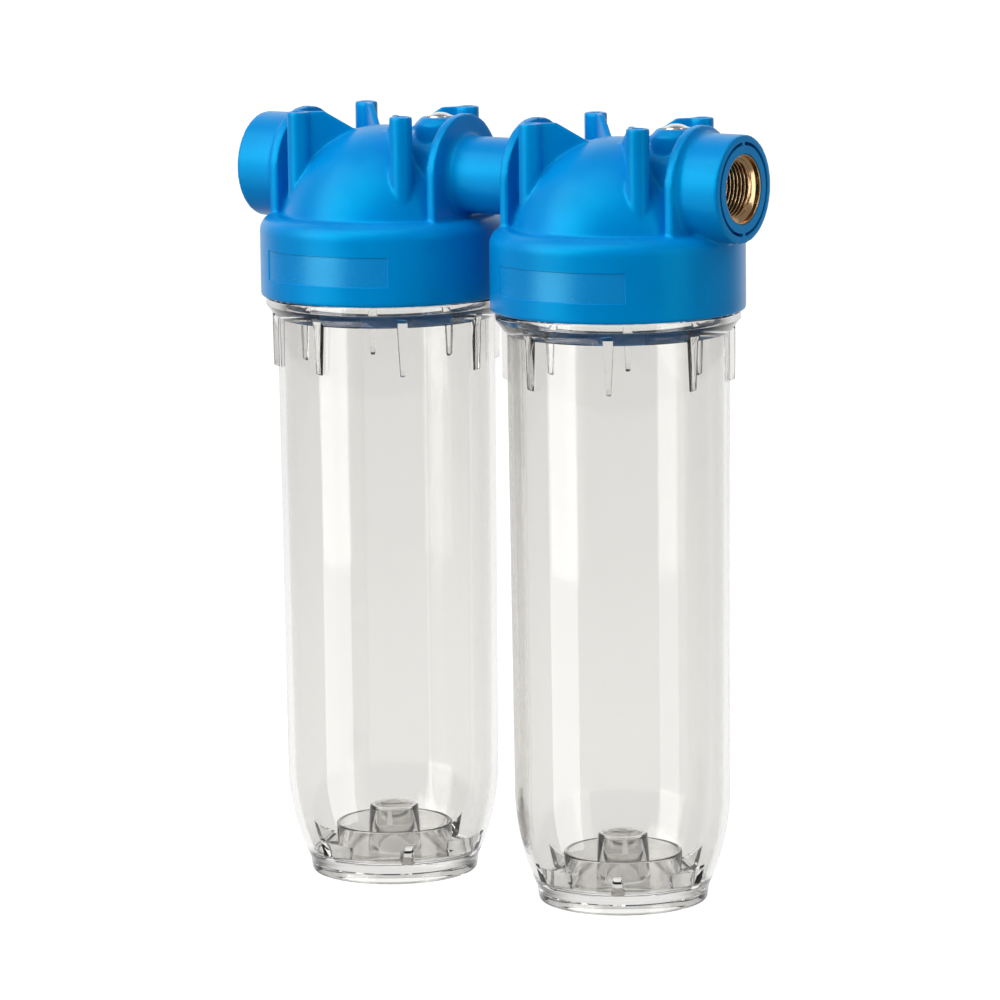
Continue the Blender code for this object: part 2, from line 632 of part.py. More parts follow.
def add_head_joint(materials):
    """The nipple that joins the heads through the pipe, and the seal between pipe and flange."""
    joint_x = HEAD_SPACING / 2 - FLANGE_INNER_X - FLANGE_THICKNESS
    length = NIPPLE_HALF_LENGTH - GAP
    nipple = tube(NIPPLE_RADIUS, NIPPLE_BORE, -length, length, FINE)
    add_object("connecting_nipple", along_x(nipple, joint_x), materials["brass"])
    seal = ring(JOINT_SEAL_RADIUS, JOINT_SEAL_SECTION, 0.75 * MM, FINE, sides=6)
    add_object("connecting_oring", along_x(seal, joint_x), materials["rubber"])


def main():
    for obj in list(bpy.data.objects):
        bpy.data.objects.remove(obj)
    materials = {
        "blue": finish("blue polypropylene", (0.0, 0.36, 0.78), 0.45),
        "clear": finish("clear SAN", (0.95, 0.95, 0.93), 0.05, transmission=1.0),
        "brass": finish("machined brass", (0.80, 0.60, 0.30), 0.25, metallic=1.0),
        "chrome": finish("polished chrome", (0.85, 0.86, 0.87), 0.06, metallic=1.0),
        "nickel": finish("nickel plate", (0.70, 0.69, 0.66), 0.2, metallic=1.0),
        "steel": finish("stainless steel", (0.60, 0.60, 0.60), 0.3, metallic=1.0),
        "rubber": finish("black nitrile rubber", (0.02, 0.02, 0.02), 0.6),
    }
    for name in ("left", "right"):
        add_head(name, materials["blue"])
        add_bowl(name, materials["clear"])
        oring = ring(SEAL_RADIUS, SEAL_SECTION, BOWL_RIM_Z - SEAL_DROP, ROUND, sides=6)
        add_object(f"{name}_bowl_oring", oring, materials["rubber"]).location.x = HEAD_X[name]
        add_vent(name, materials)
    add_insert("inlet_insert", "left", -1, materials["brass"])
    add_insert("outlet_insert", "right", 1, materials["brass"])
    add_head_joint(materials)


main()
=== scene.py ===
"""Looks of the twin cartridge filter housing: blue heads, clear bowls, brass ports and chromed air vents.

Laid out as an add-on with one operator for each kind of piece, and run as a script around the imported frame.
"""

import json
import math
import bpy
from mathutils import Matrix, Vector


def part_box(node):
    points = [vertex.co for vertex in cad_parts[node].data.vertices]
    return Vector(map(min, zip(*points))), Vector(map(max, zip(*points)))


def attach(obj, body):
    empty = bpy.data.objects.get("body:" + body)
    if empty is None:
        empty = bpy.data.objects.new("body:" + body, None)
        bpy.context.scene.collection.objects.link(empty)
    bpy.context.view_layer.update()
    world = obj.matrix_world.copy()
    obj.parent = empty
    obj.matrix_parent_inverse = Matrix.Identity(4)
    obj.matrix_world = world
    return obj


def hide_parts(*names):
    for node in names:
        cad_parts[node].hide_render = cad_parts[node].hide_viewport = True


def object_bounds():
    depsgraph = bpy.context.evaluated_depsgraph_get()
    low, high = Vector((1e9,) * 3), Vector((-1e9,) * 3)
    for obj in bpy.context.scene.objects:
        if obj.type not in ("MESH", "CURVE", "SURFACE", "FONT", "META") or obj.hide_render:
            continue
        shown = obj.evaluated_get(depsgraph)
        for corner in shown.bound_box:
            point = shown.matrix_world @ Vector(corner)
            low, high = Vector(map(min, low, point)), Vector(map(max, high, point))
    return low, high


bl_info = {
    "name": "Twin Filter Housing Looks",
    "version": (1, 0, 0),
    "blender": (4, 5, 0),
    "location": "3D View > Sidebar > Filter Housing",
    "description": "Fine meshes and finishes for a twin cartridge filter housing",
    "category": "Object",
}

import bmesh
import bpy
from mathutils import Matrix, Vector

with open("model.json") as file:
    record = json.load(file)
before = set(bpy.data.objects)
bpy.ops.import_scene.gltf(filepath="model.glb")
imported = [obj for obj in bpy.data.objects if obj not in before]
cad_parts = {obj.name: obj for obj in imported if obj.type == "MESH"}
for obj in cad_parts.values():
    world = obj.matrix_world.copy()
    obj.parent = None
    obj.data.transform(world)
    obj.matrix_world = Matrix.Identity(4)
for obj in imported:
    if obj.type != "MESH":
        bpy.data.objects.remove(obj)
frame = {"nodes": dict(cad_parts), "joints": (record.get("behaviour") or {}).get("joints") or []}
CAD_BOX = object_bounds()

MM = 0.001
TAU = 2 * math.pi
SIDES = ("left", "right")


def middle(node):
    """The middle of a CAD node's box."""
    low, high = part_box(node)
    return (low + high) / 2


AXIS_X = {side: middle(f"{side}_bowl").x for side in SIDES}
PORT_Z = middle("inlet_insert").z
TOP_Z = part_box("left_head")[1].z
COLLAR_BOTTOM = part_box("left_head")[0].z
COLLAR_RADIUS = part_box("left_head")[1].y
PORT_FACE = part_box("right_head")[1].x - AXIS_X["right"]
RIM_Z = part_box("left_bowl")[1].z
VENT_X = middle("left_vent_bush").x - AXIS_X["left"]
BUTTON_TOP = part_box("left_vent_button")[1].z
BUSH_BOTTOM, BUSH_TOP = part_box("left_vent_bush")[0].z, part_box("left_vent_bush")[1].z
INSERT_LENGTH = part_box("inlet_insert")[1].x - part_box("inlet_insert")[0].x
INSERT_RADIUS = (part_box("inlet_insert")[1].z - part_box("inlet_insert")[0].z) / 2
PIPE_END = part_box("left_head")[1].x - AXIS_X["left"]
BOWL_DROP = max(abs(x) for j in frame["joints"] if j["name"] == "left_bowl_drop" for x in j["range_m"])
GAP = 0.3 * MM  # clearance between CAD pieces that touch in the real housing
INSERT_FIT = 0.25 * MM  # how far the inserts fill that clearance
BUSH_POCKET = (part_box("left_vent_bush")[1].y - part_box("left_vent_bush")[0].y) / 2 + GAP
THREAD_LOW = 270 * MM  # height where the bowl's thread starts
THREAD_PITCH = 6 * MM
THREAD_TURNS = 2.0
PAST = 5 * MM  # how far a cutter runs out past the face that it cuts

ROUND = 144  # segments round a head or a bowl
FINE = 96  # segments round a port
SMALL = 48  # segments round a vent piece or a boss


def length(name, text, default):
    """A property for a size in metres."""
    return bpy.props.FloatProperty(
        name=name, description=text, default=default, min=0.0, precision=5, subtype="DISTANCE", unit="LENGTH"
    )


def number(name, text, default, unit="NONE"):
    """A property for another number, such as an angle in degrees or a power in watts."""
    return bpy.props.FloatProperty(name=name, description=text, default=default, unit=unit)


def tint(name, text, default):
    """A property for a colour written as an sRGB hex value."""
    return bpy.props.StringProperty(name=name, description=text, default=default)


class HeadSizes(bpy.types.PropertyGroup):
    """Sizes of a moulded head."""

    voxel: length("Mould softness", "Grain of the remesh that rounds the moulded edges", 0.8 * MM)
    collar_top: length("Collar top", "Height of the shelf on top of the collar", 302.5 * MM)
    collar_fillet: length("Collar fillet", "Radius of the collar's top edge", 7.0 * MM)
    collar_bore: length("Collar bore", "Radius at the root of the collar's thread", 52.6 * MM)
    seat: length("Seat", "Height of the face that the bowl seals on", 297.0 * MM)
    dome_radius: length("Dome radius", "Radius of the dome where it starts", 46.8 * MM)
    dome_base: length("Dome base", "Height of the dome's widest level", 293.5 * MM)
    dome_rise: length("Dome rise", "Height of the dome over its base", 48.5 * MM)
    dome_wall: length("Dome wall", "Thickness of the dome", 4.0 * MM)
    flange_radius: length("Flange radius", "Radius of the arched plate at a port", 27.0 * MM)
    flange_start: length("Flange place", "Distance of the plate from the head's axis", 40.0 * MM)
    flange_thickness: length("Flange thickness", "Thickness of the arched plate", 4.4 * MM)
    sleeve_radius: length("Sleeve radius", "Radius of the sleeve round a threaded port", 23.75 * MM)
    pipe_radius: length("Pipe radius", "Radius of the pipe between the heads", 17.2 * MM)
    fillet: length("Port fillet", "Radius where a sleeve or the pipe leaves its plate", 2.6 * MM)
    boss_radius: length("Boss radius", "Radius of a bracket screw boss", 5.1 * MM)
    boss_offset: length("Boss offset", "Distance of a boss from the head's axis along X and Y", 27.5 * MM)
    web: length("Web thickness", "Thickness of the diagonal webs", 2.8 * MM)
    pilot_radius: length("Pilot hole", "Radius of the hole for a bracket screw", 2.1 * MM)
    pilot_depth: length("Pilot depth", "Depth of the hole for a bracket screw", 15.0 * MM)
    passage: length("Passage", "Radius of the flow passages under the ports", 10.5 * MM)
    riser: length("Riser", "Inner radius of the tube that the cartridge seals on", 10.0 * MM)
    riser_wall: length("Riser wall", "Thickness of that tube's wall", 3.0 * MM)
    riser_low: length("Riser foot", "Height of the tube's lower end", 276.0 * MM)
    port_tube: length("Port tube", "Radius of the tube across the head behind its ports", 18.0 * MM)
    nipple_radius: length("Nipple pocket", "Radius of the pocket for the hidden nipple", 13.5 * MM)
    nipple_depth: length("Nipple depth", "Depth of the pocket for the hidden nipple", 14.3 * MM)
    panel_depth: length("Panel depth", "Depth of the blank panel on the collar", 0.4 * MM)
    panel_low: length("Panel bottom", "Height of the lower edge of the panel", 275.2 * MM)
    panel_high: length("Panel top", "Height of the upper edge of the panel", 288.3 * MM)
    panel_half: number("Panel half width", "Half the panel's width, in degrees round the collar", 34.4)


class BowlSizes(bpy.types.PropertyGroup):
    """Sizes of a clear bowl."""

    wall: length("Wall", "Thickness of the bowl's side", 3.3 * MM)
    top_radius: length("Top radius", "Outer radius under the neck", 49.3 * MM)
    low_radius: length("Low radius", "Outer radius where the side starts to curve in", 48.2 * MM)
    turn_z: length("Turn height", "Height where the side starts to curve in", 50.0 * MM)
    turn_radius: length("Turn radius", "Radius of the curve from side to foot", 103.0 * MM)
    neck_radius: length("Neck radius", "Radius at the root of the neck's thread", 50.1 * MM)
    flange_radius: length("Flange radius", "Radius of the flange under the neck", 54.3 * MM)
    foot_radius: length("Foot radius", "Outer radius of the foot ring", 38.7 * MM)
    floor: length("Inside floor", "Height of the inside of the bottom", 9.5 * MM)
    cup_radius: length("Cup radius", "Outer radius of the ring that holds the cartridge", 26.6 * MM)
    spigot_radius: length("Spigot radius", "Outer radius of the spigot inside the cartridge", 11.2 * MM)
    cup_top: length("Cup top", "Height of the ring that holds the cartridge", 22.2 * MM)
    spigot_top: length("Spigot top", "Height of the spigot inside the cartridge", 30.0 * MM)
    left_turn: number("Left turn", "Degrees from the front to the left bowl's first rib", 41.6)
    right_turn: number("Right turn", "Degrees from the front to the right bowl's first rib", 26.3)


class MetalSizes(bpy.types.PropertyGroup):
    """Sizes of the threaded inserts and the vents."""

    insert_bore: length("Insert bore", "Radius at the root of the port thread", 13.3 * MM)
    thread_crest: length("Thread crest", "Radius at the crest of the port thread", 12.06 * MM)
    thread_pitch: length("Thread pitch", "Distance from one thread to the next", 1.814 * MM)
    counterbore: length("Counterbore", "Depth of the plain mouth before the thread", 2.2 * MM)
    first_crest: length("First crest", "Depth of the first thread crest at the back of the bore", 4.5 * MM)
    bush_radius: length("Bush radius", "Outer radius of the vent bush", 6.5 * MM)
    button_radius: length("Button radius", "Radius of the vent button", 5.6 * MM)


class Finishes(bpy.types.PropertyGroup):
    """Colours of the finishes, as sRGB hex values."""

    blue: tint("Blue", "Pigment of the moulded heads", "#008AD5")
    blue_deep: tint("Deep blue", "Pigment where the moulding is densest", "#0082CB")
    blue_sheen: tint("Blue sheen", "Tint of the soft highlights on the heads", "#00F2FF")
    blue_glint: tint("Blue glint", "Tint of the glints on the label panels", "#80FAFF")
    clear: tint("Clear", "Tint of the clear bowls", "#EBEAE8")
    brass: tint("Brass", "Machined brass", "#F6CE9C")
    chrome: tint("Chrome", "Chrome plate", "#E8EAEC")
    nickel: tint("Nickel", "Nickel plate", "#D8D4CC")
    steel: tint("Steel", "Spring steel", "#B9BABB")
    rubber: tint("Rubber", "Nitrile seals", "#161616")
    paper: tint("Floor", "Pale studio paper", "#989897")
    paper_glow: tint("Floor glow", "Light that comes through the floor's paper", "#FFFFFF")


class Studio(bpy.types.PropertyGroup):
    """The camera and the lights."""

    lens: number("Lens", "Focal length in millimetres", 206.5)
    azimuth: number("Azimuth", "Camera's angle round the object, in degrees", 32.575)
    elevation: number("Elevation", "Camera's angle over the horizon, in degrees", 9.39)
    roll: number("Roll", "Camera's tilt, in degrees", -0.7286)
    distance: length("Distance", "From the camera to the middle of the view", 2.578)
    view_x: number("View X", "Middle of the view", -0.00166, "LENGTH")
    view_z: number("View Z", "Middle of the view", 0.17539, "LENGTH")
    main: number("Main light", "Power of the high left soft box", 16.5, "POWER")
    top: number("Top light", "Power of the overhead soft box", 4.5, "POWER")
    strip: number("Left strip", "Power of the left strip light", 19.0, "POWER")
    fill: number("Right strip", "Power of the right strip light", 6.0, "POWER")
    sky: number("Room light", "Brightness of the room that the gloss shows", 0.2)
    ambient: number("Soft light", "Even light that falls on every side", 0.36)


# ---------------------------------------------------------------------------------------------------------
# Mesh helpers


def turned(outline, segments, closed=True):
    """A bmesh turned about Z from (radius, height) points. An open outline starts and ends on the axis."""
    bm = bmesh.new()
    points = [bm.verts.new((radius, 0, height)) for radius, height in outline]
    pairs = list(zip(points, points[1:]))
    if closed:
        pairs.append((points[-1], points[0]))
    edges = [bm.edges.new(pair) for pair in pairs]
    bmesh.ops.spin(bm, geom=points + edges, axis=(0, 0, 1), angle=TAU, steps=segments, use_merge=True)
    bmesh.ops.remove_doubles(bm, verts=bm.verts, dist=1e-7)
    return bm


def rod(radius, low, high, segments):
    """An upright cylinder."""
    return turned([(0, high), (radius, high), (radius, low), (0, low)], segments, closed=False)


def arc(centre, radius, start, end, steps):
    """Points of (radius, height) along an arc, from one angle to another in degrees."""
    angles = [math.radians(start + (end - start) * i / steps) for i in range(steps + 1)]
    return [(centre[0] + radius * math.cos(t), centre[1] + radius * math.sin(t)) for t in angles]


def prism(points, depth):
    """A flat outline of points extruded by a vector."""
    bm = bmesh.new()
    face = bm.faces.new([bm.verts.new(point) for point in points])
    made = bmesh.ops.extrude_face_region(bm, geom=[face])["geom"]
    corners = [item for item in made if isinstance(item, bmesh.types.BMVert)]
    bmesh.ops.translate(bm, verts=corners, vec=depth)
    return bm


def along_x(bm, side=1):
    """Turns an upright bmesh about the port axis, pointing along +X or, for side -1, along -X."""
    turn = Matrix.Translation((0, 0, PORT_Z)) @ Matrix.Rotation(side * math.pi / 2, 4, "Y")
    bmesh.ops.transform(bm, matrix=turn, verts=bm.verts)
    return bm


def mirrored(bm, side):
    """The shape as made for side 1, or its mirror image on the -X side."""
    bmesh.ops.scale(bm, vec=(side, 1, 1), verts=bm.verts)
    return bm


def moved(bm, offset):
    """The shape moved by an offset."""
    bmesh.ops.translate(bm, verts=bm.verts, vec=offset)
    return bm


def spun(bm, angle):
    """Turned about Z by degrees from the front towards +X, from a shape made along +X."""
    bmesh.ops.rotate(bm, matrix=Matrix.Rotation(math.radians(angle - 90), 3, "Z"), verts=bm.verts)
    return bm


def softened(bm, width, steps=2):
    """Bevels every edge of a small shape."""
    bmesh.ops.recalc_face_normals(bm, faces=bm.faces)
    edges = bm.verts[:] + bm.edges[:]
    bmesh.ops.bevel(
        bm, geom=edges, offset=width, segments=steps, profile=0.5, affect="EDGES", clamp_overlap=True
    )
    return bm


def together(shapes):
    """Several bmeshes that don't overlap, as one."""
    whole = bmesh.new()
    for bm in shapes:
        bmesh.ops.recalc_face_normals(bm, faces=bm.faces)
        mesh = bpy.data.meshes.new("part of a cutter")
        bm.to_mesh(mesh)
        bm.free()
        whole.from_mesh(mesh)
        bpy.data.meshes.remove(mesh)
    return whole


def add_object(name, bm):
    """An object in the scene from a bmesh."""
    mesh = bpy.data.meshes.new(name)
    bmesh.ops.remove_doubles(bm, verts=bm.verts, dist=1e-6)
    bmesh.ops.recalc_face_normals(bm, faces=bm.faces)
    bm.to_mesh(mesh)
    bm.free()
    made = bpy.data.objects.new(name, mesh)
    bpy.context.scene.collection.objects.link(made)
    return made


def apply_modifiers(obj):
    """Settles an object's modifiers into its mesh and removes the shapes that they used."""
    helpers = [m.object for m in obj.modifiers if m.type == "BOOLEAN"]
    graph = bpy.context.evaluated_depsgraph_get()
    graph.update()
    settled = bpy.data.meshes.new_from_object(obj.evaluated_get(graph))
    obj.modifiers.clear()
    old = obj.data
    obj.data = settled
    bpy.data.meshes.remove(old)
    for helper in helpers:
        mesh = helper.data
        bpy.data.objects.remove(helper)
        bpy.data.meshes.remove(mesh)


def combine(obj, steps):
    """Joins or cuts shapes one after another: steps are ("UNION" or "DIFFERENCE", bmesh) pairs."""
    for operation, bm in steps:
        modifier = obj.modifiers.new(operation.lower(), "BOOLEAN")
        modifier.operation = operation
        modifier.solver = "MANIFOLD"
        modifier.object = add_object(f"{obj.name} {operation.lower()}", bm)
    apply_modifiers(obj)
    if not obj.data.polygons:
        raise RuntimeError(f"{obj.name} lost its mesh in a Boolean step")


def complete(obj, material, body, node, sharp=32.0):
    """Shades a piece, gives it its finish and puts it in place of its CAD node."""
    obj.data.shade_smooth()
    obj.data.set_sharp_from_angle(angle=math.radians(sharp))
    obj.data.materials.clear()
    obj.data.materials.append(material)
    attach(obj, body)
    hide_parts(node)


def helix(root, crest, low, phase, pitch, turns, per_turn=72):
    """A rounded tooth swept along a right-hand helix, its ends tapered into the root."""
    bm = bmesh.new()
    steps = round(turns * per_turn)
    taper = per_turn / 5
    profile = [(0.0, -1.3), (0.55, -0.95), (1.0, -0.6), (1.0, 0.6), (0.55, 0.95), (0.0, 1.3)]
    rows = []
    for step in range(steps + 1):
        angle = phase + TAU * step / per_turn
        height = low + pitch * step / per_turn
        rise = min(1.0, 0.15 + step / taper, 0.15 + (steps - step) / taper)
        row = []
        for share, offset in profile:
            radius = root + (crest - root) * rise * share
            place = (radius * math.cos(angle), radius * math.sin(angle), height + offset * MM)
            row.append(bm.verts.new(place))
        rows.append(row)
    for first, second in zip(rows, rows[1:]):
        for i in range(len(profile)):
            j = (i + 1) % len(profile)
            bm.faces.new((first[i], first[j], second[j], second[i]))
    bm.faces.new(rows[0])
    bm.faces.new(reversed(rows[-1]))
    return bm


# ---------------------------------------------------------------------------------------------------------
# Materials


def linear(code):
    """An sRGB hex value as a linear RGBA colour."""
    channels = [int(code[i : i + 2], 16) / 255 for i in (1, 3, 5)]
    return (*(c / 12.92 if c <= 0.04045 else ((c + 0.055) / 1.055) ** 2.4 for c in channels), 1.0)


def per_mm(size):
    """A texture's scale so that one feature of it is that many millimetres wide."""
    return 1 / (size * MM)


def add_node(tree, kind, values=None, links=None, **settings):
    """A node with its settings, its input values and its links, which are input: (node, output)."""
    node = tree.nodes.new(kind)
    for name, value in settings.items():
        setattr(node, name, value)
    for name, value in (values or {}).items():
        node.inputs[name].default_value = value
    for name, (source, output) in (links or {}).items():
        tree.links.new(source.outputs[output], node.inputs[name])
    return node


def start_material(name):
    """An empty material, with its tree, its output and the object's own coordinates."""
    made = bpy.data.materials.new(name)
    made.use_nodes = True
    tree = made.node_tree
    tree.nodes.clear()
    place = add_node(tree, "ShaderNodeTexCoord")
    return made, tree, place


def close_material(tree, shader):
    """Joins a material's shader to its output."""
    add_node(tree, "ShaderNodeOutputMaterial", links={"Surface": (shader, "BSDF")})


def moulded_polypropylene(finishes, name, smooth, rough, gloss, sheen, depth):
    """Blue polypropylene from a spark-eroded mould: a satin skin whose soft highlights stay blue."""
    made, tree, place = start_material(name)
    # The pigment clouds a little over each 30 mm, as it does in thick mouldings.
    cloud = add_node(
        tree, "ShaderNodeTexNoise", {"Scale": per_mm(30), "Detail": 2.0}, {"Vector": (place, "Object")}
    )
    colour = add_node(tree, "ShaderNodeValToRGB", links={"Fac": (cloud, "Fac")})
    colour.color_ramp.elements[0].position = 0.35
    colour.color_ramp.elements[0].color = linear(finishes.blue_deep)
    colour.color_ramp.elements[1].position = 0.65
    colour.color_ramp.elements[1].color = linear(finishes.blue)
    # The real grain is about 0.1 mm; it is drawn at 0.55 mm so that it shows.
    grain = add_node(
        tree,
        "ShaderNodeTexNoise",
        {"Scale": per_mm(0.55), "Detail": 3.0, "Roughness": 0.6},
        {"Vector": (place, "Object")},
    )
    satin = add_node(
        tree,
        "ShaderNodeMapRange",
        {"From Min": 0.3, "From Max": 0.7, "To Min": smooth, "To Max": rough},
        {"Value": (grain, "Fac")},
    )
    relief = add_node(
        tree, "ShaderNodeBump", {"Strength": 0.6, "Distance": depth}, {"Height": (grain, "Fac")}
    )
    shader = add_node(
        tree,
        "ShaderNodeBsdfPrincipled",
        {"IOR": 1.49, "Specular IOR Level": gloss, "Specular Tint": linear(sheen)},
        {"Base Color": (colour, "Color"), "Roughness": (satin, "Result"), "Normal": (relief, "Normal")},
    )
    close_material(tree, shader)
    return made


def clear_san(finishes):
    """Clear styrene acrylonitrile with a polished skin: it bends the light and darkens along its edges."""
    made, tree, place = start_material("clear_san_moulded")
    # Faint swells that the flow of the melt leaves, about 14 mm apart and a few hundredths of one high.
    flow = add_node(
        tree, "ShaderNodeTexNoise", {"Scale": per_mm(14), "Detail": 1.0}, {"Vector": (place, "Object")}
    )
    relief = add_node(
        tree, "ShaderNodeBump", {"Strength": 0.05, "Distance": 0.3 * MM}, {"Height": (flow, "Fac")}
    )
    polish = add_node(
        tree,
        "ShaderNodeMapRange",
        {"From Min": 0.3, "From Max": 0.7, "To Min": 0.015, "To Max": 0.04},
        {"Value": (flow, "Fac")},
    )
    shader = add_node(
        tree,
        "ShaderNodeBsdfPrincipled",
        {"Base Color": linear(finishes.clear), "IOR": 1.57, "Transmission Weight": 1.0},
        {"Normal": (relief, "Normal"), "Roughness": (polish, "Result")},
    )
    close_material(tree, shader)
    return made


def machined_brass(finishes):
    """Turned brass: bright yellow metal with fine tool marks round the port's axis."""
    made, tree, place = start_material("machined_brass")
    worn = add_node(
        tree, "ShaderNodeTexNoise", {"Scale": per_mm(3), "Detail": 4.0}, {"Vector": (place, "Object")}
    )
    gloss = add_node(
        tree,
        "ShaderNodeMapRange",
        {"From Min": 0.3, "From Max": 0.7, "To Min": 0.1, "To Max": 0.18},
        {"Value": (worn, "Fac")},
    )
    # Tool marks are drawn about 0.5 mm wide along the thread, coarser than the real feed so that they show.
    squeezed = add_node(tree, "ShaderNodeMapping", {"Scale": (6.0, 1.0, 1.0)}, {"Vector": (place, "Object")})
    marks = add_node(
        tree, "ShaderNodeTexNoise", {"Scale": per_mm(3), "Detail": 1.0}, {"Vector": (squeezed, "Vector")}
    )
    relief = add_node(
        tree, "ShaderNodeBump", {"Strength": 0.15, "Distance": 0.02 * MM}, {"Height": (marks, "Fac")}
    )
    shader = add_node(
        tree,
        "ShaderNodeBsdfPrincipled",
        {"Base Color": linear(finishes.brass), "Metallic": 1.0},
        {"Roughness": (gloss, "Result"), "Normal": (relief, "Normal")},
    )
    close_material(tree, shader)
    return made


def plated_metal(name, colour, smooth, rough, grain):
    """Plated or drawn metal whose gloss varies a little over each few millimetres."""
    made, tree, place = start_material(name)
    wear = add_node(
        tree, "ShaderNodeTexNoise", {"Scale": per_mm(grain), "Detail": 4.0}, {"Vector": (place, "Object")}
    )
    gloss = add_node(
        tree,
        "ShaderNodeMapRange",
        {"From Min": 0.3, "From Max": 0.7, "To Min": smooth, "To Max": rough},
        {"Value": (wear, "Fac")},
    )
    shader = add_node(
        tree,
        "ShaderNodeBsdfPrincipled",
        {"Base Color": linear(colour), "Metallic": 1.0},
        {"Roughness": (gloss, "Result")},
    )
    close_material(tree, shader)
    return made


def nitrile_rubber(finishes):
    """Moulded nitrile rubber: near black, with a soft sheen and a fine dusty grain."""
    made, tree, place = start_material("nitrile_rubber_moulded")
    dust = add_node(
        tree, "ShaderNodeTexNoise", {"Scale": per_mm(0.5), "Detail": 3.0}, {"Vector": (place, "Object")}
    )
    gloss = add_node(
        tree,
        "ShaderNodeMapRange",
        {"From Min": 0.3, "From Max": 0.7, "To Min": 0.45, "To Max": 0.65},
        {"Value": (dust, "Fac")},
    )
    relief = add_node(
        tree, "ShaderNodeBump", {"Strength": 0.2, "Distance": 0.03 * MM}, {"Height": (dust, "Fac")}
    )
    shader = add_node(
        tree,
        "ShaderNodeBsdfPrincipled",
        {"Base Color": linear(finishes.rubber), "IOR": 1.52},
        {"Roughness": (gloss, "Result"), "Normal": (relief, "Normal")},
    )
    close_material(tree, shader)
    return made


def studio_paper(finishes):
    """Pale matt background paper, lit from under as on a light table so that it stays even."""
    made, tree, place = start_material("pale_studio_paper")
    fibre = add_node(
        tree, "ShaderNodeTexNoise", {"Scale": per_mm(1.5), "Detail": 2.0}, {"Vector": (place, "Object")}
    )
    relief = add_node(
        tree, "ShaderNodeBump", {"Strength": 0.03, "Distance": 0.1 * MM}, {"Height": (fibre, "Fac")}
    )
    shader = add_node(
        tree,
        "ShaderNodeBsdfPrincipled",
        {
            "Base Color": linear(finishes.paper),
            "Roughness": 0.9,
            "Specular IOR Level": 0.1,
            "Emission Color": linear(finishes.paper_glow),
            "Emission Strength": 0.93,
        },
        {"Normal": (relief, "Normal")},
    )
    close_material(tree, shader)
    return made


# ---------------------------------------------------------------------------------------------------------
# Heads


def dome_points(sizes, inset, low, steps):
    """Points down the dome from its axis to the height low, inset by the wall."""
    radius, rise = sizes.dome_radius - inset, sizes.dome_rise - inset
    last = math.degrees(math.asin((low - sizes.dome_base) / rise))
    angles = [math.radians(90 + (last - 90) * i / steps) for i in range(steps + 1)]
    points = [(radius * math.cos(t), sizes.dome_base + rise * math.sin(t)) for t in angles]
    points[0] = (0, sizes.dome_base + rise)
    return points


def head_mass(sizes):
    """The solid outside of a head: dome, shelf and collar."""
    outline = dome_points(sizes, 0, sizes.collar_top, 32)
    fillet = sizes.collar_fillet
    outline += arc((COLLAR_RADIUS - fillet, sizes.collar_top - fillet), fillet, 90, 0, 10)
    outline += arc((COLLAR_RADIUS - 1.0 * MM, COLLAR_BOTTOM + 1.0 * MM), 1.0 * MM, 0, -90, 3)
    outline.append((0, COLLAR_BOTTOM))
    return turned(outline, ROUND, closed=False)


def flange_plate(sizes):
    """An arched plate round a port: a half circle about the port axis on straight sides."""
    foot = sizes.collar_top - 2.5 * MM
    radius = sizes.flange_radius
    points = [(sizes.flange_start, radius, foot)]
    for step in range(49):
        angle = math.pi * step / 48
        points.append((sizes.flange_start, radius * math.cos(angle), PORT_Z + radius * math.sin(angle)))
    points.append((sizes.flange_start, -radius, foot))
    return prism(points, (sizes.flange_thickness, 0, 0))


def diagonal_web(sizes, turn):
    """An upright plate across the dome that stiffens two opposite screw bosses."""
    far = math.hypot(sizes.boss_offset, sizes.boss_offset)
    low, high = sizes.collar_top + 4.0 * MM, sizes.dome_base + 46.5 * MM
    top = [(-far, TOP_Z), (-27.3 * MM, TOP_Z), (-12.1 * MM, high)]
    top += [(-x, z) for x, z in reversed(top)]
    outline = [*top, (far, low), (-far, low)]
    bm = prism([(x, -sizes.web / 2, z) for x, z in outline], (0, sizes.web, 0))
    bmesh.ops.rotate(bm, matrix=Matrix.Rotation(math.radians(turn), 3, "Z"), verts=bm.verts)
    return bm


def flared(sizes, radius, end):
    """A sleeve or pipe that grows out of its plate with a fillet, upright from the plate to its end."""
    face = sizes.flange_start + sizes.flange_thickness
    fillet = sizes.fillet
    outline = [(0, end), (radius, end)]
    outline += arc((radius + fillet, face + fillet), fillet, 180, 270, 6)
    outline += [(radius + fillet, face - 2 * MM), (0, face - 2 * MM)]
    return turned(outline, FINE, closed=False)


def vent_boss():
    """The coned boss that holds the air vent."""
    top = BUSH_TOP - 0.3 * MM
    radius, cone = 8.1 * MM, 3.2 * MM
    outline = [(0, top), (radius, top), (radius + cone, top - cone), (radius + cone, PORT_Z), (0, PORT_Z)]
    return moved(turned(outline, FINE, closed=False), (VENT_X, 0, 0))


def groove_arc(side):
    """Half of the ring groove in a port face, between the bars at top and bottom."""
    inner, outer, depth = 19.2 * MM, 20.6 * MM, 8.0 * MM
    half = math.radians(87)
    turns = [half * (step / 24 - 1) for step in range(49)]
    start = PORT_FACE - depth
    points = [(start, side * outer * math.cos(t), PORT_Z + outer * math.sin(t)) for t in turns]
    points += [(start, side * inner * math.cos(t), PORT_Z + inner * math.sin(t)) for t in reversed(turns)]
    return prism(points, (depth + 2 * MM, 0, 0))


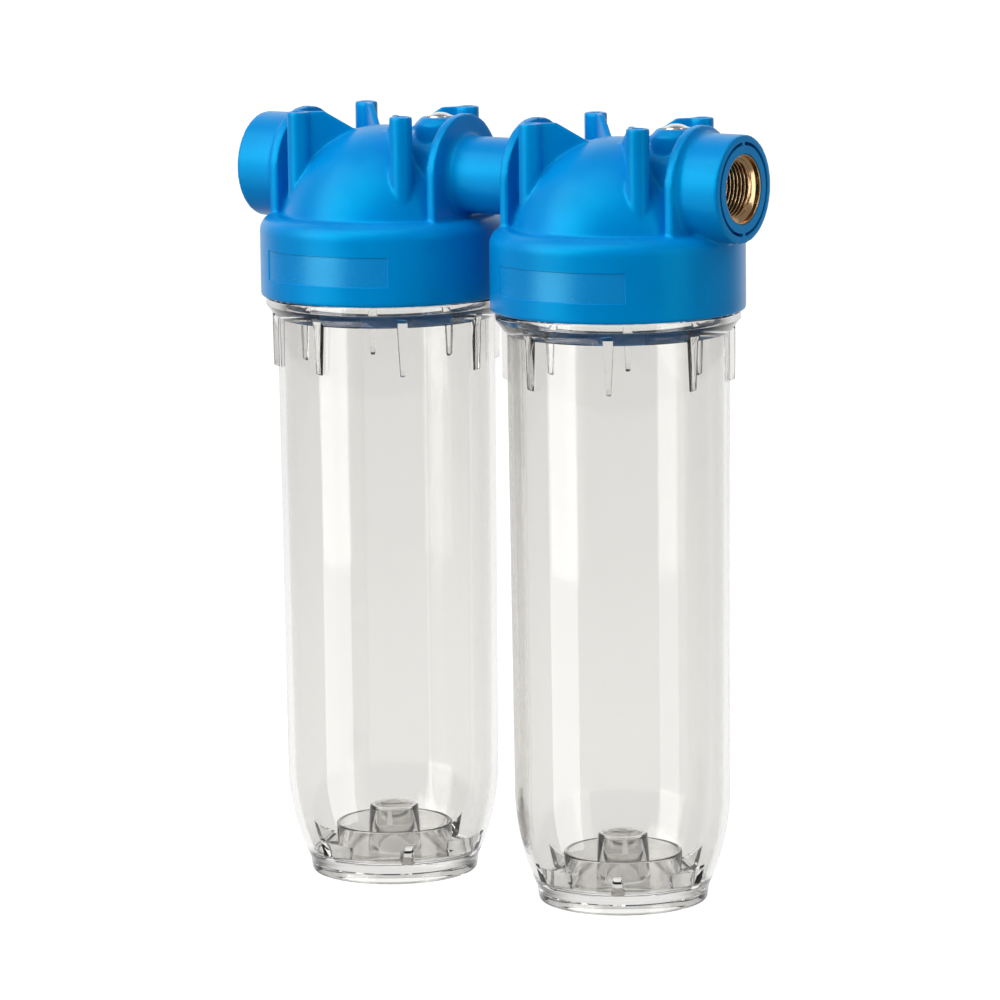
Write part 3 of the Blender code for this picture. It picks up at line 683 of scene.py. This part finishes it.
def label_panel(sizes):
    """The shallow blank panel on the front of the collar, with sides that slope."""
    bm = bmesh.new()
    steps = 48
    rows = []
    for out, spread, rise in ((-sizes.panel_depth, 0.0, 0.0), (1 * MM, 0.9, 0.7 * MM)):
        radius = COLLAR_RADIUS + out
        half = math.radians(sizes.panel_half + spread)
        turns = [half * (2 * step / steps - 1) for step in range(steps + 1)]
        for z in (sizes.panel_low - rise, sizes.panel_high + rise):
            rows.append([bm.verts.new((radius * math.sin(t), -radius * math.cos(t), z)) for t in turns])
    inner_low, inner_high, outer_low, outer_high = rows
    for i in range(steps):
        bm.faces.new((inner_low[i], inner_low[i + 1], inner_high[i + 1], inner_high[i]))
        bm.faces.new((outer_low[i], outer_high[i], outer_high[i + 1], outer_low[i + 1]))
        bm.faces.new((inner_low[i], outer_low[i], outer_low[i + 1], inner_low[i + 1]))
        bm.faces.new((inner_high[i], inner_high[i + 1], outer_high[i + 1], outer_high[i]))
    for i in (0, steps):
        bm.faces.new((inner_low[i], inner_high[i], outer_high[i], outer_low[i]))
    return bm


def mould_head(name, sizes):
    """The outside of a head in one solid, remeshed so that its edges round over as moulded ones do."""
    head = add_object(f"{name}_head_moulding", head_mass(sizes))
    steps = [("UNION", mirrored(flange_plate(sizes), side)) for side in (1, -1)]
    reach = sizes.flange_start + 1 * MM
    steps.append(("UNION", along_x(rod(sizes.port_tube, -reach, reach, FINE))))
    steps += [("UNION", diagonal_web(sizes, turn)) for turn in (45, -45)]
    offset = sizes.boss_offset
    for x in (-offset, offset):
        for y in (-offset, offset):
            boss = rod(sizes.boss_radius, sizes.collar_top + 2 * MM, TOP_Z, SMALL)
            steps.append(("UNION", moved(boss, (x, y, 0))))
    steps.append(("UNION", vent_boss()))
    outer_side = -1 if name == "left" else 1
    steps.append(("UNION", along_x(flared(sizes, sizes.sleeve_radius, PORT_FACE), outer_side)))
    if name == "left":
        steps.append(("UNION", along_x(flared(sizes, sizes.pipe_radius, PIPE_END))))
    combine(head, steps)
    remesh = head.modifiers.new("mould", "REMESH")
    remesh.mode = "VOXEL"
    remesh.voxel_size = sizes.voxel
    smooth = head.modifiers.new("polish", "SMOOTH")
    smooth.factor, smooth.iterations = 0.5, 3
    apply_modifiers(head)
    return head


def chamber_hollow(sizes):
    """The hollow of a head: the dome's inside, the bowl's seat and the collar's bore, open at the bottom."""
    bore, mouth = sizes.collar_bore, sizes.collar_bore + 1.2 * MM
    outline = dome_points(sizes, sizes.dome_wall, sizes.seat, 24)
    outline += [(bore, sizes.seat), (bore, COLLAR_BOTTOM + 2 * MM), (mouth, COLLAR_BOTTOM)]
    outline += [(mouth, COLLAR_BOTTOM - PAST), (0, COLLAR_BOTTOM - PAST)]
    return turned(outline, ROUND, closed=False)


def pilot_hole(sizes):
    """A countersunk hole for a bracket screw, down from a boss's top."""
    radius, top = sizes.pilot_radius, TOP_Z - 0.1 * MM
    low = TOP_Z - sizes.pilot_depth
    outline = [(0, top + 3 * MM), (radius + 3.6 * MM, top + 3 * MM), (radius, top - 0.6 * MM)]
    outline += [(radius, low), (0, low - 1 * MM)]
    return turned(outline, SMALL, closed=False)


def pipe_joint(name, sizes):
    """Cuts where the heads join: the hidden nipple's pocket, then the pipe's end or the seal's groove."""
    radius, depth = sizes.nipple_radius, sizes.nipple_depth
    if name == "left":
        pocket = rod(radius, PIPE_END - depth, PIPE_END + PAST, FINE)
        low, high = PIPE_END, PIPE_END + PAST
        other = rod(30 * MM, low, high, FINE)
    else:
        face = -sizes.flange_start - sizes.flange_thickness
        pocket = rod(radius, face - PAST, face + depth, FINE)
        low, high = face - PAST, face + 2 * MM
        outer, inner = 16.4 * MM, 14.3 * MM
        other = turned([(outer, high), (outer, low), (inner, low), (inner, high)], FINE)
    return [("DIFFERENCE", along_x(pocket)), ("DIFFERENCE", along_x(other))]


def cut_head(name, head, sizes):
    """The sharp features of a head: chamber, passages, port pocket, screw holes, thread and panel."""
    side = -1 if name == "left" else 1
    outlet_end = PORT_FACE + (30 * MM if name == "left" else PAST)
    vent_pocket = rod(BUSH_POCKET, BUSH_BOTTOM - GAP, TOP_Z + PAST, SMALL)
    shallow = [
        along_x(rod(sizes.passage, -4 * MM, outlet_end, FINE)),
        along_x(rod(sizes.passage, -PORT_FACE - PAST, -24 * MM, FINE)),
        moved(vent_pocket, (VENT_X, 0, 0)),
        label_panel(sizes),
        *[mirrored(groove_arc(half), side) for half in (1, -1)],
    ]
    offset = sizes.boss_offset
    shallow += [moved(pilot_hole(sizes), (x, y, 0)) for x in (-offset, offset) for y in (-offset, offset)]
    pocket = rod(INSERT_RADIUS + GAP, PORT_FACE - INSERT_LENGTH - 0.8 * MM, PORT_FACE + PAST, FINE)
    vent_hole = rod(4.2 * MM, PORT_Z, BUSH_BOTTOM + 1 * MM, SMALL)
    root, crest = sizes.collar_bore + 0.5 * MM, 50.9 * MM
    outer = sizes.riser + sizes.riser_wall
    combine(
        head,
        [
            ("DIFFERENCE", chamber_hollow(sizes)),
            ("UNION", rod(outer, sizes.riser_low, 339.4 * MM, FINE)),
            ("UNION", along_x(rod(outer + 0.5 * MM, 2 * MM, sizes.flange_start - 2 * MM, FINE))),
            ("DIFFERENCE", rod(sizes.riser, sizes.riser_low - PAST, PORT_Z, FINE)),
            ("DIFFERENCE", together(shallow)),
            ("DIFFERENCE", along_x(pocket, side)),
            *pipe_joint(name, sizes),
            ("DIFFERENCE", moved(vent_hole, (VENT_X, 0, 0))),
            ("UNION", helix(root, crest, THREAD_LOW, math.pi, THREAD_PITCH, THREAD_TURNS)),
        ],
    )


def on_panel(sizes, point):
    """True for a point on the flat of the label panel, seen from its head's axis."""
    inside = abs(math.degrees(math.atan2(point.x, -point.y))) < sizes.panel_half
    deep = abs(point.xy.length - COLLAR_RADIUS + sizes.panel_depth) < 0.15 * MM
    return inside and deep and sizes.panel_low < point.z < sizes.panel_high


class FILTER_OT_heads(bpy.types.Operator):
    """Make both moulded heads"""

    bl_idname = "filter_housing.heads"
    bl_label = "Heads"

    def execute(self, context):
        sizes = context.scene.head_sizes
        finishes = context.scene.finishes
        satin = moulded_polypropylene(
            finishes, "blue_polypropylene_moulded", 0.27, 0.37, 0.6, finishes.blue_sheen, 0.06 * MM
        )
        # The panel's mould face was sparked coarser and shines more, so its highlight breaks into glints.
        sparked = moulded_polypropylene(
            finishes, "blue_polypropylene_sparked", 0.18, 0.3, 1.0, finishes.blue_glint, 0.12 * MM
        )
        for name in SIDES:
            head = mould_head(name, sizes)
            cut_head(name, head, sizes)
            head.data.transform(Matrix.Translation((AXIS_X[name], 0, 0)))
            complete(head, satin, "heads", f"{name}_head", sharp=38.0)
            head.data.materials.append(sparked)
            for face in head.data.polygons:
                face.material_index = int(on_panel(sizes, face.center - Vector((AXIS_X[name], 0, 0))))
        return {"FINISHED"}


# ---------------------------------------------------------------------------------------------------------
# Bowls


def side_points(sizes, inset, low, steps=18):
    """The bowl's side from under its neck down to a height: a slight draft, then a long curve inwards."""
    points = [(sizes.top_radius - inset, 256.0 * MM), (sizes.low_radius - inset, sizes.turn_z)]
    for step in range(1, steps + 1):
        fall = (sizes.turn_z - low) * step / steps
        bend = sizes.turn_radius - math.sqrt(sizes.turn_radius**2 - fall**2)
        points.append((sizes.low_radius - inset - bend, sizes.turn_z - fall))
    return points


def bowl_section(sizes):
    """Section of the bowl: up the inside from its axis, over the rim and down the outside to the foot."""
    rim, neck, flange = RIM_Z, sizes.neck_radius, sizes.flange_radius
    inside = [(0, sizes.floor)]
    corner = 3.0 * MM
    wall_low = side_points(sizes, sizes.wall, sizes.floor + corner)
    inside += arc((wall_low[-1][0] - corner, sizes.floor + corner), corner, -90, -8, 6)
    inside += list(reversed(wall_low))
    inside += [(45.4 * MM, 262 * MM), (45.0 * MM, 266 * MM), (45.0 * MM, rim - 0.4 * MM), (45.4 * MM, rim)]
    inside += [(46.4 * MM, rim), (46.4 * MM, rim - 2.1 * MM), (49.4 * MM, rim - 2.1 * MM), (49.4 * MM, rim)]
    outside = [(neck - 0.4 * MM, rim), (neck, rim - 0.4 * MM)]
    outside += [(neck, 266.6 * MM), (neck + 0.4 * MM, 266.1 * MM)]
    outside += arc((flange - 0.6 * MM, 265.0 * MM), 0.6 * MM, 90, 0, 3)
    outside += arc((flange - 0.6 * MM, 262.2 * MM), 0.6 * MM, 0, -60, 3)
    outside += [(51.0 * MM, 257.4 * MM), (50.0 * MM, 256.8 * MM)]
    outside += side_points(sizes, 0, 8.2 * MM)
    foot = sizes.foot_radius
    outside += [(foot + 0.3 * MM, 7.2 * MM), (foot - 0.05 * MM, 6.4 * MM), (foot - 0.7 * MM, 2.2 * MM)]
    outside += arc((foot - 2.4 * MM, 1.6 * MM), 1.6 * MM, 0, -90, 5)
    outside += [(foot - 4.6 * MM, 0), (foot - 5.1 * MM, 0.5 * MM), (foot - 5.6 * MM, 4.4 * MM)]
    outside += [(foot - 6.2 * MM, 5 * MM), (0, 5 * MM)]
    return inside + outside


def grip_rib():
    """A wedge under the neck flange that a strap wrench grips."""
    bm = bmesh.new()
    rows = []
    # Height, outer radius and half width of each section, in millimetres.
    sections = [(260, 51.7, 2.4), (250, 51.7, 1.9), (240, 51.6, 1.35), (234.9, 51.5, 1.1), (233.9, 49, 1.0)]
    for z, outer, half in sections:
        section = ((47.5, half), (outer, half), (outer, -half), (47.5, -half))
        rows.append([bm.verts.new((x * MM, y * MM, z * MM)) for x, y in section])
    for first, second in zip(rows, rows[1:]):
        for i in range(4):
            j = (i + 1) % 4
            bm.faces.new((first[i], second[i], second[j], first[j]))
    bm.faces.new(reversed(rows[0]))
    bm.faces.new(rows[-1])
    return softened(bm, 0.3 * MM)


def floor_fin():
    """A low fin between the cup ring and the wall, flared where it meets the floor."""
    # Radius and height of each corner, in millimetres.
    outline = [(25.6, 8.6), (25.6, 13.5), (30.0, 14.6), (36.0, 16.5)]
    outline += [(39.5, 18.8), (41.0, 20.6), (42.6, 20.6), (36.0, 8.6)]
    bm = bmesh.new()
    rows = []
    for side in (-1, 1):
        halves = [1.5 + 0.4 * max(0.0, 12.5 - z) for x, z in outline]
        corners = [(x * MM, side * half * MM, z * MM) for (x, z), half in zip(outline, halves)]
        rows.append([bm.verts.new(corner) for corner in corners])
    bm.faces.new(rows[0])
    bm.faces.new(reversed(rows[1]))
    for i in range(len(outline)):
        j = (i + 1) % len(outline)
        bm.faces.new((rows[0][i], rows[1][i], rows[1][j], rows[0][j]))
    return bm


def seat_ring(outer, wall, top, low, draft, segments):
    """A low ring that stands on the floor, wider at its foot and rounded along its top."""
    edge = wall * 0.45
    outline = arc((outer - edge, top - edge), edge, 90, 0, 4)
    outline += [(outer + draft, low), (outer - wall - draft * 0.4, low)]
    outline += arc((outer - wall + edge, top - edge), edge, 180, 90, 4)
    return turned(outline, segments)


def make_bowl(name, sizes, turn):
    """A clear bowl with its thread, ribs, cup ring, spigot and fins."""
    bowl = add_object(f"{name}_bowl_clear", turned(bowl_section(sizes), ROUND, closed=False))
    low = sizes.floor - 1 * MM
    root, crest = sizes.neck_radius - 0.4 * MM, 51.6 * MM
    combine(
        bowl,
        [
            ("UNION", helix(root, crest, THREAD_LOW, 0.0, THREAD_PITCH, THREAD_TURNS)),
            ("UNION", together([spun(grip_rib(), turn + i * 45) for i in range(8)])),
            ("UNION", seat_ring(sizes.cup_radius, 1.7 * MM, sizes.cup_top, low, -0.9 * MM, FINE)),
            ("UNION", seat_ring(sizes.spigot_radius, 3.1 * MM, sizes.spigot_top, low, 1.0 * MM, FINE)),
            ("UNION", together([spun(floor_fin(), turn + 1.2 + i * 60) for i in range(6)])),
        ],
    )
    bowl.data.transform(Matrix.Translation((AXIS_X[name], 0, 0)))
    return bowl


class FILTER_OT_bowls(bpy.types.Operator):
    """Make both clear bowls"""

    bl_idname = "filter_housing.bowls"
    bl_label = "Bowls"

    def execute(self, context):
        sizes = context.scene.bowl_sizes
        material = clear_san(context.scene.finishes)
        for name, turn in (("left", sizes.left_turn), ("right", sizes.right_turn)):
            bowl = make_bowl(name, sizes, turn)
            complete(bowl, material, f"{name}_bowl_body", f"{name}_bowl", sharp=30.0)
        return {"FINISHED"}


# ---------------------------------------------------------------------------------------------------------
# Ports, vents and seals


def threaded_insert(sizes, side):
    """A brass insert whose bore is a true helical thread, along +X from its back to its rounded lip."""
    face, back = PORT_FACE - GAP, PORT_FACE - GAP - INSERT_LENGTH
    outer, lip = INSERT_RADIUS + INSERT_FIT, 0.4 * MM
    recess = outer - 2 * lip
    pitch, root, crest = sizes.thread_pitch, sizes.insert_bore, sizes.thread_crest
    around, per_pitch = FINE, 16
    turns = [TAU * i / around for i in range(around)]
    bm = bmesh.new()
    loops = []
    for radius, x in [(outer, back), *arc((outer - lip, face - lip), lip, 0, 180, 8)]:
        loops.append([bm.verts.new((x, radius * math.cos(t), radius * math.sin(t))) for t in turns])
    rows = round(INSERT_LENGTH / pitch * per_pitch)
    for row in range(1, rows + 1):
        x = face - lip + (back - face + lip) * row / rows
        # A plain counterbore, then a steep cone that leads in to the thread.
        mouth = recess - 1.5 * max(0.0, face - x - sizes.counterbore)
        loop = []
        for t in turns:
            phase = ((x - face + sizes.first_crest) / pitch - t / TAU + 0.5) % 1.0
            tooth = min(1.0, max(0.0, 1.15 - abs(phase - 0.5) * 2.6))
            radius = max(root + (crest - root) * tooth, mouth)
            loop.append(bm.verts.new((x, radius * math.cos(t), radius * math.sin(t))))
        loops.append(loop)
    for first, second in zip(loops, loops[1:] + loops[:1]):
        for i in range(around):
            j = (i + 1) % around
            bm.faces.new((first[i], first[j], second[j], second[i]))
    moved(bm, (0, 0, PORT_Z))
    if side < 0:
        bmesh.ops.rotate(bm, matrix=Matrix.Rotation(math.pi, 3, "Z"), verts=bm.verts)
    return bm


class FILTER_OT_ports(bpy.types.Operator):
    """Make the threaded brass inserts and finish the hidden joint between the heads"""

    bl_idname = "filter_housing.ports"
    bl_label = "Ports"

    def execute(self, context):
        material = machined_brass(context.scene.finishes)
        for node, name, side in (("inlet_insert", "left", -1), ("outlet_insert", "right", 1)):
            bm = moved(threaded_insert(context.scene.metal_sizes, side), (AXIS_X[name], 0, 0))
            insert = add_object(f"{node}_threaded", bm)
            complete(insert, material, "heads", node, sharp=50.0)
        nipple = frame["nodes"]["connecting_nipple"]
        nipple.data.materials.clear()
        nipple.data.materials.append(material)
        return {"FINISHED"}


def vent_bush(sizes):
    """A plated bush with a rounded rim and a recess for the button."""
    outer, rim = sizes.bush_radius, 0.25 * MM
    hole, recess = 2.5 * MM, 6.0 * MM
    floor = BUSH_BOTTOM + 1.8 * MM
    outline = arc((outer - rim, BUSH_TOP - rim), rim, 90, 0, 4)
    outline += [(outer, BUSH_BOTTOM), (hole, BUSH_BOTTOM), (hole, floor), (recess, floor)]
    outline += arc((recess + rim, BUSH_TOP - rim), rim, 180, 90, 4)
    return turned(outline, SMALL)


def vent_button(sizes):
    """A polished domed button on its stem, with the groove for the clip."""
    radius, stem = sizes.button_radius, 1.9 * MM
    drop = 1.7 * MM
    sphere = (radius**2 + drop**2) / (2 * drop)
    spread = math.degrees(math.asin((radius - 0.4 * MM) / sphere))
    outline = arc((0, BUTTON_TOP - sphere), sphere, 90, 90 - spread, 12)
    outline[0] = (0, BUTTON_TOP)
    edge_z = outline[-1][1] - 0.4 * MM
    outline += [(radius - 0.1 * MM, outline[-1][1] - 0.12 * MM), (radius, edge_z)]
    under = BUTTON_TOP - 3.4 * MM
    low, high, end = BUSH_BOTTOM - 4.2 * MM, BUSH_BOTTOM - 2.8 * MM, BUSH_BOTTOM - 5.0 * MM
    outline += [(radius, under), (stem, under), (stem, high), (1.3 * MM, high), (1.3 * MM, low), (stem, low)]
    outline += [(stem, end + 0.3 * MM), (stem - 0.3 * MM, end), (0, end)]
    return turned(outline, SMALL, closed=False)


class FILTER_OT_vents(bpy.types.Operator):
    """Make the push-button air vents"""

    bl_idname = "filter_housing.vents"
    bl_label = "Air vents"

    def execute(self, context):
        finishes, sizes = context.scene.finishes, context.scene.metal_sizes
        # Mirror-bright chrome that shows the lights as hard white shapes.
        chrome = plated_metal("polished_chrome_plate", finishes.chrome, 0.03, 0.08, 4.0)
        # Nickel under a wiped polish, warmer and softer than chrome.
        nickel = plated_metal("nickel_plate", finishes.nickel, 0.14, 0.28, 2.0)
        # Drawn stainless wire with a dull draw grain.
        steel = plated_metal("stainless_spring_steel", finishes.steel, 0.25, 0.45, 0.6)
        for name in SIDES:
            offset = (AXIS_X[name] + VENT_X, 0, 0)
            bush = add_object(f"{name}_vent_bush_turned", moved(vent_bush(sizes), offset))
            complete(bush, nickel, "heads", f"{name}_vent_bush")
            button = add_object(f"{name}_vent_button_polished", moved(vent_button(sizes), offset))
            complete(button, chrome, f"{name}_vent", f"{name}_vent_button")
            for word in ("spring", "clip"):
                node = frame["nodes"][f"{name}_vent_{word}"]
                node.data.materials.clear()
                node.data.materials.append(steel)
        return {"FINISHED"}


class FILTER_OT_seals(bpy.types.Operator):
    """Give every O-ring its rubber"""

    bl_idname = "filter_housing.seals"
    bl_label = "Seals"

    def execute(self, context):
        rubber = nitrile_rubber(context.scene.finishes)
        names = [f"{side}_{word}" for side in SIDES for word in ("bowl_oring", "vent_oring")]
        for name in [*names, "connecting_oring"]:
            node = frame["nodes"][name]
            node.data.materials.clear()
            node.data.materials.append(rubber)
        return {"FINISHED"}


# ---------------------------------------------------------------------------------------------------------
# Stage


def toward(azimuth, elevation):
    """Unit vector from the object towards a place: azimuth 0 is the front and 90 is +X, in degrees."""
    a, e = math.radians(azimuth), math.radians(elevation)
    return Vector((math.sin(a) * math.cos(e), -math.cos(a) * math.cos(e), math.sin(e)))


def add_camera(studio):
    """A long-lens camera aimed at the middle of the view."""
    back = toward(studio.azimuth, studio.elevation)
    right = toward(studio.azimuth + 90, 0)
    up = back.cross(right)
    roll = math.radians(studio.roll)
    across = right * math.cos(roll) + up * math.sin(roll)
    above = up * math.cos(roll) - right * math.sin(roll)
    place = Vector((studio.view_x, 0, studio.view_z)) + back * studio.distance
    data = bpy.data.cameras.new("camera")
    data.lens, data.sensor_width = studio.lens, 36.0
    data.clip_start, data.clip_end = 0.05, 60.0
    camera = bpy.data.objects.new("camera", data)
    camera.matrix_world = Matrix.Translation(place) @ Matrix((across, above, back)).transposed().to_4x4()
    bpy.context.scene.collection.objects.link(camera)
    bpy.context.scene.camera = camera


def add_soft_box(name, azimuth, elevation, distance, width, height, power):
    """A rectangular soft light aimed at the middle of the object, unseen by the camera."""
    data = bpy.data.lights.new(name, "AREA")
    data.shape, data.size, data.size_y, data.energy = "RECTANGLE", width, height, power
    back = toward(azimuth, elevation)
    lamp = bpy.data.objects.new(name, data)
    lamp.location = Vector((0, 0, (CAD_BOX[0].z + CAD_BOX[1].z) / 2)) + back * distance
    lamp.rotation_mode = "QUATERNION"
    lamp.rotation_quaternion = (-back).to_track_quat("-Z", "Y")
    lamp.visible_camera = False
    bpy.context.scene.collection.objects.link(lamp)
    return lamp


def add_room(studio):
    """The studio round the object: bright paper beyond it, a dimmer room on the camera's side."""
    world = bpy.data.worlds.new("studio")
    bpy.context.scene.world = world
    world.use_nodes = True
    tree = world.node_tree
    tree.nodes.clear()
    place = add_node(tree, "ShaderNodeTexCoord")
    beyond = add_node(
        tree, "ShaderNodeVectorMath", links={0: (place, "Generated")}, operation="DOT_PRODUCT"
    )
    beyond.inputs[1].default_value = -toward(studio.azimuth, 0)
    paper = add_node(
        tree,
        "ShaderNodeMapRange",
        {"From Min": 0.45, "From Max": 0.9, "To Min": studio.sky, "To Max": 1.0},
        {"Value": (beyond, "Value")},
        interpolation_type="SMOOTHSTEP",
    )
    ray = add_node(tree, "ShaderNodeLightPath")
    even = add_node(
        tree, "ShaderNodeMath", {1: studio.ambient}, {0: (ray, "Is Diffuse Ray")}, operation="MULTIPLY"
    )
    brighter = add_node(
        tree, "ShaderNodeMath", links={0: (paper, "Result"), 1: (even, "Value")}, operation="MAXIMUM"
    )
    level = add_node(
        tree, "ShaderNodeMath", links={0: (brighter, "Value"), 1: (ray, "Is Camera Ray")}, operation="MAXIMUM"
    )
    light = add_node(tree, "ShaderNodeBackground", links={"Strength": (level, "Value")})
    light.inputs["Color"].default_value = (1.0, 1.0, 1.0, 1.0)
    add_node(tree, "ShaderNodeOutputWorld", links={"Surface": (light, "Background")})


def add_floor(finishes):
    """A wide pale floor just under the lowest place that the unscrewed bowls reach."""
    bm = bmesh.new()
    bmesh.ops.create_circle(bm, cap_ends=True, segments=96, radius=14.0)
    floor = add_object("floor", moved(bm, (0, 0, CAD_BOX[0].z - BOWL_DROP - GAP)))
    floor.data.materials.append(studio_paper(finishes))
    # Gloss and soft light pass by the floor, so the bowls show the strips down to their feet, as over glass.
    floor.visible_glossy = False
    floor.visible_diffuse = False


class FILTER_OT_stage(bpy.types.Operator):
    """Set up the camera, the soft lights, the room and the floor"""

    bl_idname = "filter_housing.stage"
    bl_label = "Stage"

    def execute(self, context):
        studio = context.scene.studio
        add_camera(studio)
        add_room(studio)
        add_floor(context.scene.finishes)
        add_soft_box("main_box", studio.azimuth - 60, 38, 1.4, 1.5, 1.4, studio.main)
        add_soft_box("top_box", studio.azimuth - 25, 68, 1.5, 1.0, 1.0, studio.top)
        add_soft_box("right_strip", studio.azimuth + 50, 3, 1.6, 0.6, 2.2, studio.fill)
        # The left strip only draws the long bright bands in gloss and glass.
        strip = add_soft_box("left_strip", studio.azimuth - 61, 3, 1.5, 0.92, 2.4, studio.strip)
        strip.visible_diffuse = False
        context.scene.view_settings.view_transform = "Standard"
        return {"FINISHED"}


class FILTER_PT_panel(bpy.types.Panel):
    """Lists the pieces of the filter housing"""

    bl_idname = "FILTER_PT_panel"
    bl_label = "Filter Housing"
    bl_space_type = "VIEW_3D"
    bl_region_type = "UI"
    bl_category = "Filter Housing"

    def draw(self, context):
        for operator in OPERATORS:
            self.layout.operator(operator.bl_idname)
        for group in GROUPS:
            box = self.layout.box()
            for name in GROUPS[group].__annotations__:
                box.prop(getattr(context.scene, group), name)


GROUPS = {
    "head_sizes": HeadSizes,
    "bowl_sizes": BowlSizes,
    "metal_sizes": MetalSizes,
    "finishes": Finishes,
    "studio": Studio,
}
OPERATORS = (
    FILTER_OT_stage,
    FILTER_OT_heads,
    FILTER_OT_bowls,
    FILTER_OT_ports,
    FILTER_OT_vents,
    FILTER_OT_seals,
)


def register():
    for made in (*GROUPS.values(), *OPERATORS, FILTER_PT_panel):
        bpy.utils.register_class(made)
    for name, group in GROUPS.items():
        setattr(bpy.types.Scene, name, bpy.props.PointerProperty(type=group))


def unregister():
    for name in GROUPS:
        delattr(bpy.types.Scene, name)
    for made in reversed((*GROUPS.values(), *OPERATORS, FILTER_PT_panel)):
        bpy.utils.unregister_class(made)


def main():
    for name in ("Cube", "Light", "Camera"):
        if name in bpy.data.objects:
            bpy.data.objects.remove(bpy.data.objects[name])
    register()
    for operator in OPERATORS:
        group, name = operator.bl_idname.split(".")
        getattr(getattr(bpy.ops, group), name)()
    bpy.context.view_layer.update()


if __name__ == "__main__":
    main()
